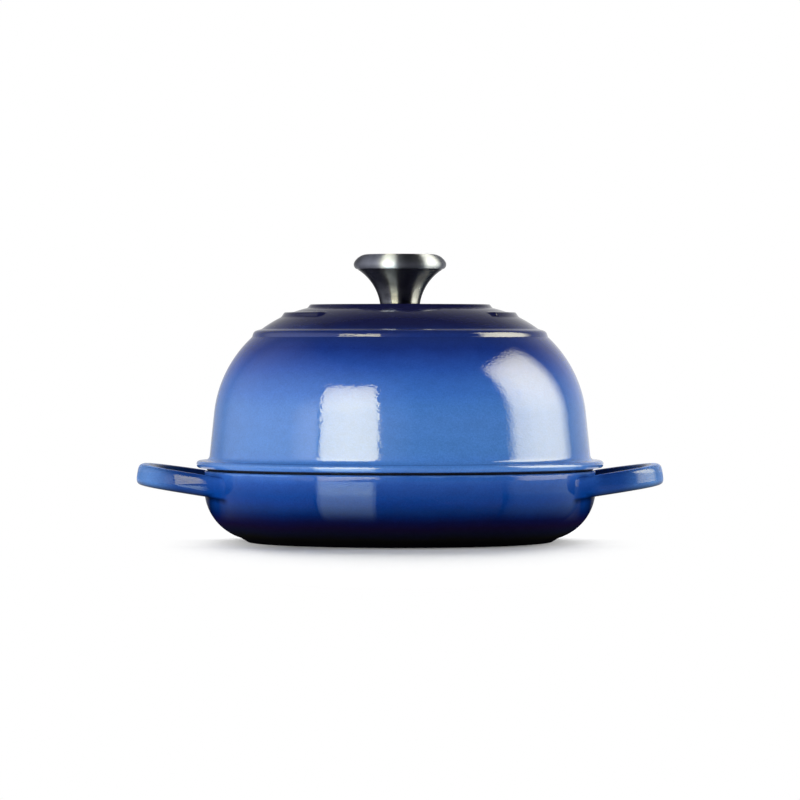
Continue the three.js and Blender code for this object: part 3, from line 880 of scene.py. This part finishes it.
# %% Middle line and section of a handle
HANDLE_REACH = 41.6
HANDLE_HALF_WIDTH = 48.5
HANDLE_UP = 36.1
HANDLE_TILT = math.radians(8.5)
LOOP_SQUARENESS = 2.8
LOOP_STEPS = 150
LINE_POINTS = 6001
BAR_THICK = 10.0
BAR_TALL = 13.0
SECTION_SQUARENESS = 3.6
SECTION_STEPS = 40
ROOT_FILLET = 6.0
ROOT_DROP = 0.5


def squared(value, squareness):
    """A sine or cosine bent so that its circle becomes a squared ellipse."""
    return np.sign(value) * np.abs(value) ** (2 / squareness)


root_out = math.sqrt(BASE_OUT**2 - HANDLE_HALF_WIDTH**2) - ROOT_FILLET
loop_reach = BASE_OUT + HANDLE_REACH - BAR_THICK / 2 - root_out
swing = np.linspace(-np.pi / 2, np.pi / 2, LINE_POINTS)
line_x = root_out + loop_reach * squared(np.maximum(np.cos(swing), 0), LOOP_SQUARENESS)
line_y = HANDLE_HALF_WIDTH * squared(np.sin(swing), LOOP_SQUARENESS)
length = np.concatenate([[0], np.cumsum(np.hypot(np.diff(line_x), np.diff(line_y)))])
wanted = length[-1] * (1 - np.cos(np.linspace(0, np.pi, LOOP_STEPS + 1))) / 2
middle_x = np.interp(wanted, length, line_x)
middle_y = np.interp(wanted, length, line_y)
around = np.linspace(0, 2 * np.pi, SECTION_STEPS, endpoint=False)
section = np.stack([
    BAR_THICK / 2 * squared(np.cos(around), SECTION_SQUARENESS),
    BAR_TALL / 2 * squared(np.sin(around), SECTION_SQUARENESS),
], axis=1)
print(f"handle line {length[-1]:.0f} mm, section of {len(section)} points")

# %% Sweep a handle
ahead_x = np.gradient(middle_x, wanted)
ahead_y = np.gradient(middle_y, wanted)
ahead = np.hypot(ahead_x, ahead_y)
outward = np.stack([ahead_y / ahead, -ahead_x / ahead], axis=1)
side = section[:, 0][None, :]
up = np.broadcast_to(section[:, 1][None, :], (LOOP_STEPS + 1, len(section)))
flat_x = middle_x[:, None] + outward[:, :1] * side - BASE_OUT
loop_x = BASE_OUT + flat_x * math.cos(HANDLE_TILT) - up * math.sin(HANDLE_TILT)
loop_y = middle_y[:, None] + outward[:, 1:] * side
loop_z = HANDLE_UP + flat_x * math.sin(HANDLE_TILT) + up * math.cos(HANDLE_TILT)

below = np.minimum(0, loop_z - BELLY_MIDDLE[1])
wall_out = BELLY_MIDDLE[0] + np.sqrt(np.maximum(0, BELLY_RADIUS**2 - below**2))
from_axis = np.hypot(loop_x, loop_y)
rest = np.clip(ROOT_FILLET - np.maximum(0, from_axis - wall_out), 0, ROOT_FILLET)
growth = ROOT_FILLET - np.sqrt(ROOT_FILLET**2 - rest**2)

fall = np.clip(below / BELLY_RADIUS, -1, 0)
level = np.sqrt(1 - fall**2) / from_axis
normal = np.stack([loop_x * level, loop_y * level, fall], axis=-1)
spread = np.stack([
    outward[:, :1] * side / (BAR_THICK / 2),
    outward[:, 1:] * side / (BAR_THICK / 2),
    np.minimum(0, up / (BAR_TALL / 2)) * ROOT_DROP,
], axis=-1)
spread -= normal * (spread * normal).sum(-1, keepdims=True)
spread[..., 2] = np.minimum(0, spread[..., 2])
loop = np.stack([loop_x, loop_y, loop_z], axis=-1) + spread * growth[..., None]
farthest, highest = loop[..., 0].max(), loop[..., 2].max()
print(f"handle reaches {farthest:.1f} mm out, up to {highest:.1f} mm")

# %% Handle meshes
def handle_piece(name, turn):
    """The swept handle as a closed mesh; turn is 1, or -1 for the one on the other side."""
    where = loop.reshape(-1, 3) * (turn * MM, turn * MM, MM)
    number = np.arange(len(where)).reshape(loop.shape[:2])
    beside = np.roll(number, -1, axis=1)
    sides = np.stack([number[:-1], number[1:], beside[1:], beside[:-1]], axis=-1).reshape(-1, 4)
    faces = [*sides.tolist(), number[0].tolist(), number[-1, ::-1].tolist()]
    piece = new_piece(name, where.tolist(), [], faces, base_enamel)
    piece.data.shade_smooth()
    print(f"{name}: {len(faces)} faces, {volume_of(piece):.1f} cubic cm")
    return piece


right_handle = handle_piece("right_handle", 1)
left_handle = handle_piece("left_handle", -1)

# %% Join the handles and take out the core
CREASE = math.radians(42)
SLIVER = 5e-6


def combined(piece, other, operation):
    """The piece with another joined to it or cut from it; the other one is used up."""
    step = piece.modifiers.new(operation, "BOOLEAN")
    step.object = other
    step.operation = operation
    step.solver = "EXACT"
    step.material_mode = "TRANSFER"
    settled(piece)
    bpy.data.objects.remove(other)


def cleaned(piece, crease):
    """The piece without slivers, smooth but for edges sharper than the crease."""
    shape = bmesh.new()
    shape.from_mesh(piece.data)
    bmesh.ops.remove_doubles(shape, verts=shape.verts, dist=SLIVER)
    bmesh.ops.dissolve_degenerate(shape, edges=shape.edges, dist=SLIVER)
    shape.to_mesh(piece.data)
    faces, gaps = len(shape.faces), sum(not edge.is_manifold for edge in shape.edges)
    shape.free()
    piece.data.shade_smooth()
    piece.data.set_sharp_from_angle(angle=crease)
    print(f"{piece.name}: {faces} faces, {gaps} open edges, {volume_of(piece):.1f} cubic cm")


for handle in (right_handle, left_handle):
    combined(base, handle, "UNION")
combined(base, core, "DIFFERENCE")
cleaned(base, CREASE)

# %% [markdown]
# ## The knob
#
# The knob is two thin shells: a stem that flares upwards with a hollow side, and a cap whose round
# rim overhangs it. Both are turned. The cap's small gap over the stem shows as a fine line under
# the rim.

# %% Stem of the knob
KNOB_UP = 146.4
KNOB_OUT = 28.5
KNOB_TALL = 30.6
KNOB_FOOT = 12.3
KNOB_WALL = 1.7
HOLLOW_RADIUS = 30.0
BEAD = 3.2
SHOULDER = 9.4
SHOULDER_END = 30
SEAM_TURN = -72
SEAM_GAP = 0.3
FOOT_LAND = 0.6
KNOB_SPOKES = 128
KNOB_SPACING = 0.8

shoulder_height = KNOB_UP + KNOB_TALL - SHOULDER
lean = math.radians(SHOULDER_END)
bead_up = shoulder_height + (SHOULDER - BEAD) * math.sin(lean)
bead_middle = (KNOB_OUT - BEAD, bead_up)
shoulder_middle = (bead_middle[0] - (SHOULDER - BEAD) * math.cos(lean), shoulder_height)
seam = arc(bead_middle, BEAD, SEAM_TURN, SHOULDER_END, BEAD)[0]
foot = Vector((KNOB_FOOT, KNOB_UP))
chord = Vector(seam) - foot
off_chord = math.sqrt(HOLLOW_RADIUS**2 - chord.length_squared / 4)
hollow = (foot + Vector(seam)) / 2 + Vector((chord.y, -chord.x)).normalized() * off_chord


def stem_side(thickness, start_up, end_up):
    """Points up or down one side of the stem's wall."""
    radius = HOLLOW_RADIUS + thickness
    turns = [180 - math.degrees(math.asin((up - hollow.y) / radius)) for up in (start_up, end_up)]
    return arc(hollow, radius, *turns, KNOB_SPACING)


outer_side = stem_side(0, KNOB_UP, seam[1])
inner_side = stem_side(KNOB_WALL, seam[1], KNOB_UP)
foot_out = outer_side[0][0]
stem_line = rounded([
    (foot_out - FOOT_LAND, KNOB_UP),
    (foot_out, KNOB_UP, FOOT_LAND / 2),
    *outer_side[2:],
    *inner_side,
    (foot_out - FOOT_LAND, KNOB_UP),
])
stem = turned("knob_stem_shell", stem_line[::-1], KNOB_SPOKES, stem_steel)

# %% Cap of the knob
BEAD_SPACING = 0.4
CAP_SPACING = 0.6
FLAT_SPACING = 1.5

knob_top = KNOB_UP + KNOB_TALL
seat_up = seam[1] + SEAM_GAP
seat_turn = math.degrees(math.asin((seat_up - bead_middle[1]) / BEAD))
hem_out = inner_side[0][0]
cap_line = finer(rounded([
    (0, knob_top - KNOB_WALL),
    *arc(shoulder_middle, SHOULDER - KNOB_WALL, 90, SHOULDER_END, KNOB_SPACING),
    *arc(bead_middle, BEAD - KNOB_WALL, SHOULDER_END, SEAM_TURN, BEAD_SPACING)[1:],
    (hem_out, seat_up + KNOB_WALL),
    (hem_out, seat_up),
    *arc(bead_middle, BEAD, seat_turn, SHOULDER_END, BEAD_SPACING),
    *arc(shoulder_middle, SHOULDER, SHOULDER_END, 90, CAP_SPACING)[1:],
    (0, knob_top),
]), FLAT_SPACING)
cap = turned("knob_cap_shell", cap_line[::-1], KNOB_SPOKES, cap_steel)
for shell in (stem, cap):
    cleaned(shell, CREASE)

# %% [markdown]
# ## The fastening inside the lid
#
# Lift the lid and look up: a slotted screw holds the knob, through a flat washer that spreads its
# load on the enamel and a split spring washer that keeps it tight. The screw's thread is a helix:
# after turning, each point of the shank moves in by an amount that depends on its height and its
# angle together.

# %% Screw
HEAD_LOW, HEAD_TOP = 133.9, 137.7
HEAD_OUT = 6
HEAD_ROUND, HEAD_EASE = 1.6, 0.25
SHANK_OUT = 3.0
SHANK_TOP = 157.4
THREAD_PITCH = 1.0
THREAD_DEPTH = 0.5
THREAD_START = HEAD_TOP + 1.5
NEAR_SHANK = 0.05
SCREW_SPOKES = 48
SCREW_SPACING = 0.12

screw_line = finer(rounded([
    (0, HEAD_LOW),
    (HEAD_OUT, HEAD_LOW, HEAD_ROUND),
    (HEAD_OUT, HEAD_TOP, HEAD_EASE),
    (SHANK_OUT, HEAD_TOP),
    (SHANK_OUT, SHANK_TOP),
    (0, SHANK_TOP),
]), SCREW_SPACING)
screw = turned("knob_screw_turned", screw_line[::-1], SCREW_SPOKES, screw_steel)
points = points_of(screw)
out = np.hypot(points[:, 0], points[:, 1])
threaded = (np.abs(out - SHANK_OUT) < NEAR_SHANK) & (points[:, 2] > THREAD_START)
turn = np.arctan2(points[:, 1], points[:, 0]) / math.tau
phase = (points[:, 2] / THREAD_PITCH + turn) % 1
cut = 1 - THREAD_DEPTH / SHANK_OUT * (1 - np.abs(2 * phase - 1))
points[:, :2] *= np.where(threaded, cut, 1)[:, None]
move_points(screw, points)
print("thread cut on", int(threaded.sum()), "points")

# %% Slot of the screw
SLOT_WIDE = 1.6
SLOT_DEEP = 1.8
SLOT_REACH = 8
SLOT_BELOW = 1
SCREW_CREASE = math.radians(30)
BOX_FACES = [(0, 1, 3, 2), (4, 6, 7, 5), (0, 4, 5, 1), (2, 3, 7, 6), (0, 2, 6, 4), (1, 5, 7, 3)]


def block(name, low, high):
    """A steel box between two corners, in millimetres, used up as a cutting tool."""
    corners = [tuple(MM * part for part in corner) for corner in itertools.product(*zip(low, high))]
    return new_piece(name, corners, [], BOX_FACES, screw_steel)


slot_low = (-SLOT_REACH, -SLOT_WIDE / 2, HEAD_LOW - SLOT_BELOW)
slot_high = (SLOT_REACH, SLOT_WIDE / 2, HEAD_LOW + SLOT_DEEP)
combined(screw, block("slot_cutter", slot_low, slot_high), "DIFFERENCE")
cleaned(screw, SCREW_CREASE)

# %% Washers
WASHER_BORE = 3.3
WASHER_SPOKES = 96
WASHER_CREASE = math.radians(35)
WASHER_SPACING = 0.8
SPLIT_CORNERS = (0, -0.5, 137), (8, 0.5, 141)


def washer(name, out, low, high, ease):
    """A turned ring with eased edges."""
    ring = rounded([
        (WASHER_BORE + 1, low),
        (out, low, ease),
        (out, high, ease),
        (WASHER_BORE, high, ease),
        (WASHER_BORE, low, ease),
        (WASHER_BORE + 1, low),
    ], steps=3)
    return turned(name, finer(ring, WASHER_SPACING)[::-1], WASHER_SPOKES, screw_steel)


plain_washer = washer("flat_washer_turned", out=8, low=139.8, high=141.0, ease=0.25)
spring_washer = washer("lock_washer_turned", out=5.3, low=138.0, high=139.5, ease=0.2)
combined(spring_washer, block("split_cutter", *SPLIT_CORNERS), "DIFFERENCE")
for ring in (plain_washer, spring_washer):
    cleaned(ring, WASHER_CREASE)

# %% [markdown]
# ## Bodies
#
# Each new piece stands for one measured node and rides on the body that the node belongs to, so
# the lid and everything on it lift together. The threaded boss inside the stem can't be seen; its
# measured shape stays, with the steel of the other fixings.

# %% Bodies
PIECES = [
    (base, "base", "base_pan", "base_enamel"),
    (lid, "lid", "domed_lid", "lid_enamel"),
    (stem, "lid", "knob_stem", "knob_steel"),
    (cap, "lid", "knob_cap", "knob_steel"),
    (screw, "lid", "knob_screw", "fixing_steel"),
    (plain_washer, "lid", "flat_washer", "fixing_steel"),
    (spring_washer, "lid", "lock_washer", "fixing_steel"),
]
for piece, body, node, slot in PIECES:
    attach(piece, body)
    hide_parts(node)
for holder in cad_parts["knob_insert"].material_slots:
    holder.material = screw_steel
print(len(PIECES), "pieces stand for their measured nodes")

# %% [markdown]
# ## Table and light
#
# The pot stands on a plain white table in a studio. Near the pot the table is white paint, which
# takes the shadow; further out it fades into a glow of its own, so the far table and the card
# behind it are one even white, whatever the lamps do. The fade comes sooner at the sides, because
# the handles' shadows don't show in the picture.

# %% Table and backdrop
TABLE_REACH = 14.0
TABLE_SHADE = 0.96
TABLE_ROUGHNESS = 0.9
GLOW_SPAN = (0.25, 0.6)
GLOW_SIDEWAYS = 4.0
CARD_BACK = 3.6
CARD_HALF = 0.62
CARD_TALL = 0.8


def sheet(name, corners, finish, faces=((0, 1, 2, 3),)):
    """A new piece of one flat face, or of a few."""
    piece = new_piece(name, corners, [], faces, finish)
    return piece


def matt(name):
    """A matt black surface, to be given a colour or a glow."""
    material, tree, shader = new_material(name)
    feed(tree, shader, {
        "Base Color": (0, 0, 0, 1),
        "Roughness": TABLE_ROUGHNESS,
        "Specular IOR Level": 0.0,
        "Emission Color": (1, 1, 1, 1),
        "Emission Strength": 1.0,
    })
    return material, tree, shader


table_white, tree, shader = matt("table_white")
widened = vector(tree, "MULTIPLY", spot_on(tree), (GLOW_SIDEWAYS, 1, 1))[0]
far_off = vector(tree, "LENGTH", widened)["Value"]
glow = faded(tree, far_off, GLOW_SPAN, smooth=True)
shade = product(tree, maths(tree, "SUBTRACT", 1.0, glow), TABLE_SHADE)
feed(tree, shader, {"Base Color": shade, "Emission Color": glow})
card_white = matt("card_white")[0]
r, w, y, h = TABLE_REACH, CARD_HALF, CARD_BACK, CARD_TALL
sheet("table", [(-r, -r, 0), (r, -r, 0), (r, r, 0), (-r, r, 0)], table_white)
sheet("card", [(-w, y, 0), (w, y, 0), (w, y, h), (-w, y, h)], card_white)
print(f"table to {TABLE_REACH:.0f} m, white card {CARD_BACK:.1f} m behind the pot")

# %% [markdown]
# A wide overhead light, a little behind the pot, makes the soft shadow round the foot. A low light
# in front and one on each side fill the blue. None of these four is mirrored in the glaze.

# %% Lights
POT_MIDDLE = (0, 0, 0.09)
FILLS = [
    ("back_light", (0, 2.36, 1.93), (2.4, 2.5), 8.0),
    ("front_fill", (-1.4, -2.9, 0.6), (4.0, 1.3), 2.5),
    ("left_fill", (-2.9, -0.8, 0.9), (1.6, 1.6), 2.7),
    ("right_fill", (3.0, 0.0, 0.9), (1.6, 1.6), 1.9),
]


def lamp(name, where, aim, size, brightness, roll=0.0):
    """An area light that isn't mirrored; brightness 1 shines like white paper in full light."""
    light = bpy.data.lights.new(name, "AREA")
    light.shape = "RECTANGLE"
    light.size, light.size_y = size
    light.energy = brightness * math.pi * light.size * light.size_y
    holder = bpy.data.objects.new(name, light)
    holder.location = where
    facing = (Vector(where) - Vector(aim)).to_track_quat("Z", "Y").to_matrix()
    holder.rotation_euler = (facing @ Matrix.Rotation(math.radians(roll), 3, "Z")).to_euler()
    holder.visible_camera = False
    holder.visible_glossy = False
    scene.collection.objects.link(holder)
    print(f"{name}: {light.energy:.0f} W")
    return holder


for name, where, size, brightness in FILLS:
    lamp(name, where, POT_MIDDLE, size, brightness)

# %% [markdown]
# Two softboxes, one in front on the left and one on the right, make the bright panels on the dome,
# so each stands in the direction that the dome mirrors. A softbox's cloth is far brighter than the
# light that the pot needs from it, so each is two things in one place: a lamp that isn't mirrored,
# and a glowing cloth that only reflections see. Two ramps, across and upright, make the cloth
# brightest in its middle and soft at its edges.

# %% Softboxes
LEFT_ACROSS = [
    *((0.03, 0.0), (0.065, 0.75), (0.12, 0.86), (0.25, 0.93)),
    *((0.55, 1.0), (0.8, 0.96), (0.96, 0.9), (1.0, 0.1)),
]
LEFT_UPRIGHT = [
    *((0.0, 0.84), (0.29, 0.91), (0.43, 1.0), (0.59, 0.95)),
    *((0.75, 0.88), (0.85, 0.78), (0.97, 0.62), (1.0, 0.1)),
]
RIGHT_ACROSS = [
    *((0.02, 0.0), (0.09, 0.45), (0.14, 0.95), (0.36, 1.0), (0.5, 0.86)),
    *((0.65, 0.66), (0.75, 0.53), (0.82, 0.34), (0.89, 0.17), (1.0, 0.0)),
]
RIGHT_UPRIGHT = [
    *((0.0, 0.7), (0.09, 0.74), (0.255, 0.92), (0.47, 1.0)),
    *((0.68, 0.94), (0.78, 0.8), (0.88, 0.55), (1.0, 0.0)),
]


def grey_ramp(tree, factor, stops):
    """A ramp of brightness, with a share for each place from 0 to 1."""
    return ramp(tree, factor, [(where, (share, share, share, 1)) for where, share in stops])


def set_glow(tree, shader, brightness, tint, *shares):
    """Makes a surface glow in a tint, by two shares of its brightness that are multiplied."""
    glow = vector(tree, "MULTIPLY", vector(tree, "MULTIPLY", *shares)[0], tint)[0]
    feed(tree, shader, {"Emission Strength": brightness, "Emission Color": glow})


def only_mirrored(piece):
    """Makes a stage piece show in reflections and nowhere else."""
    for way in ("camera", "diffuse", "shadow", "transmission", "volume_scatter"):
        setattr(piece, "visible_" + way, False)


def softbox(name, where, aim, size, roll, light, face, tint, across, upright):
    """A lamp, and in the same place the glowing cloth that reflections see."""
    holder = lamp(name, where, aim, size, light, roll)
    cloth, tree, shader = matt(name + "_cloth")
    spot = vector(tree, "DIVIDE", spot_on(tree), (*size, 1))[0]
    spot = parts_of(tree, vector(tree, "ADD", spot, (0.5, 0.5, 0))[0])
    shares = grey_ramp(tree, spot["X"], across), grey_ramp(tree, spot["Y"], upright)
    set_glow(tree, shader, face, tint, *shares)
    w, h = size[0] / 2, size[1] / 2
    cover = sheet(name + "_face", [(-w, -h, 0), (w, -h, 0), (w, h, 0), (-w, h, 0)], cloth)
    cover.location, cover.rotation_euler = holder.location, holder.rotation_euler
    only_mirrored(cover)


softbox(
    "left_softbox",
    where=(-1.07, -1.69, 0.82),
    aim=(0, 0, 0.82),
    size=(1.40, 1.50),
    roll=8,
    light=1.4,
    face=33.0,
    tint=(1.0, 0.93, 0.58),
    across=LEFT_ACROSS,
    upright=LEFT_UPRIGHT,
)
softbox(
    "right_softbox",
    where=(1.8, 0.26, 1.11),
    aim=(0, 0.26, 1.11),
    size=(2.15, 2.2),
    roll=0,
    light=1.2,
    face=23.5,
    tint=(1.0, 0.95, 0.68),
    across=RIGHT_ACROSS,
    upright=RIGHT_UPRIGHT,
)

# %% [markdown]
# The real table has a gloss that mirrors the softboxes, and the base shows those mirror images as
# two faint panels. A gloss would also mirror the pot towards the camera, which the picture doesn't
# show. So the table stays matt, and two thin glowing fans, which only reflections can see, lie
# where the images are. They fade towards the pot, which shades the table there, and at both sides.

# %% Gleams on the table
GLEAM_FAR = 1.7
GLEAM_REACHES = (0.001, 1.6)
GLEAM_PARTS = 16
GLEAM_UP = 0.0004
GLEAM_TINT = (0.74, 0.96, 1.0)
GLEAM_EDGES = [(0.0, 0.0), (0.1, 1.0), (0.9, 1.0), (1.0, 0.0)]
GLEAM_FADE = [
    *((0.122, 0.0), (0.128, 0.14), (0.136, 0.38), (0.175, 0.48)),
    *((0.26, 0.6), (0.8, 0.95), (1.3, 1.0)),
]
WALL_FOOT = 0.1157


def gleam(name, turns, brightness):
    """A glowing fan on the table, outwards from the wall between two directions in degrees."""
    corners, places = [], []
    for part, turn in enumerate(np.linspace(*np.radians(turns), GLEAM_PARTS + 1)):
        for reach in GLEAM_REACHES:
            x = WALL_FOOT * math.sin(turn / 2) + reach * math.sin(turn)
            y = -WALL_FOOT * math.cos(turn / 2) - reach * math.cos(turn)
            corners.append((x, y, GLEAM_UP))
            places.append(part / GLEAM_PARTS)
    faces = [(2 * i, 2 * i + 1, 2 * i + 3, 2 * i + 2) for i in range(GLEAM_PARTS)]
    finish, tree, shader = matt(name)
    fan = sheet(name, corners, finish, faces)
    fan.data.attributes.new("across", "FLOAT", "POINT").data.foreach_set("value", places)
    only_mirrored(fan)
    far_off = maths(tree, "DIVIDE", vector(tree, "LENGTH", spot_on(tree))["Value"], GLEAM_FAR)
    fade = grey_ramp(tree, far_off, [(away / GLEAM_FAR, share) for away, share in GLEAM_FADE])
    across = place(tree, "ShaderNodeAttribute", attribute_name="across").outputs["Fac"]
    set_glow(tree, shader, brightness, GLEAM_TINT, fade, grey_ramp(tree, across, GLEAM_EDGES))


gleam("left_gleam", turns=(-51, -13.5), brightness=23.0)
gleam("right_gleam", turns=(62, 132), brightness=3.4)
print("gleams laid on the table")

# %% [markdown]
# A glossy glaze mirrors the whole studio. A ring of pale wall round the pot, again seen only in
# reflections, glows on the left, beside the left softbox and behind the pot, and gives the dome
# its pale sides. A picture of a studio on the world could do the same; a few soft glows are easier
# to place.

# %% Pale walls
WALL_OUT = 3.4
WALL_TALL = 5.8
WALL_FULL = 0.5
WALL_PARTS = 96
WALL_GLOWS = [
    ((-0.89, -0.43, 0.14), 0.3, 2.9),
    ((0.55, 0.83, 0.05), 0.8, 0.45),
    ((0.0, 0.98, 0.2), 0.2, 0.55),
    ((-0.76, -0.63, 0.15), 0.94, 3.5),
]

pale, tree, shader = matt("pale_walls")
spot = spot_on(tree)
towards = vector(tree, "NORMALIZE", spot)[0]
glow = 0.0
for middle, edge, brightness in WALL_GLOWS:
    near = vector(tree, "DOT_PRODUCT", towards, middle)["Value"]
    glow = maths(tree, "ADD", faded(tree, near, (edge, 1.0), (0.0, brightness)), glow)
fade = faded(tree, parts_of(tree, spot)["Z"], (WALL_FULL, WALL_TALL), FALLING)
feed(tree, shader, {"Emission Color": product(tree, fade, glow)})
corners, faces = [], []
for part in range(WALL_PARTS):
    turn = math.tau * part / WALL_PARTS
    foot = (WALL_OUT * math.cos(turn), WALL_OUT * math.sin(turn))
    corners += [(*foot, 0.0), (*foot, WALL_TALL)]
    here, following = 2 * part, 2 * (part + 1) % (2 * WALL_PARTS)
    faces.append((here, here + 1, following + 1, following))
only_mirrored(sheet("pale_walls", corners, pale, faces))
print("pale walls: glow from", len(WALL_GLOWS), "sides")

# %% [markdown]
# The rest of the room is dim, and darker upwards, so that the top of the lid stays navy.

# %% Room
ROOM_SPAN = (0.1, 0.7)
ROOM_GLOW = (0.2, 0.05)
ROOM_COLOUR = (0.97, 0.98, 1.0, 1)

room = bpy.data.worlds.new("room")
scene.world = room
room.use_nodes = True
tree = room.node_tree
direction = place(tree, "ShaderNodeTexCoord").outputs["Generated"]
dim = faded(tree, parts_of(tree, direction)["Z"], ROOM_SPAN, ROOM_GLOW)
feed(tree, tree.nodes["Background"], {"Color": ROOM_COLOUR, "Strength": dim})
print("room glow", ROOM_GLOW, "from the horizon upwards")
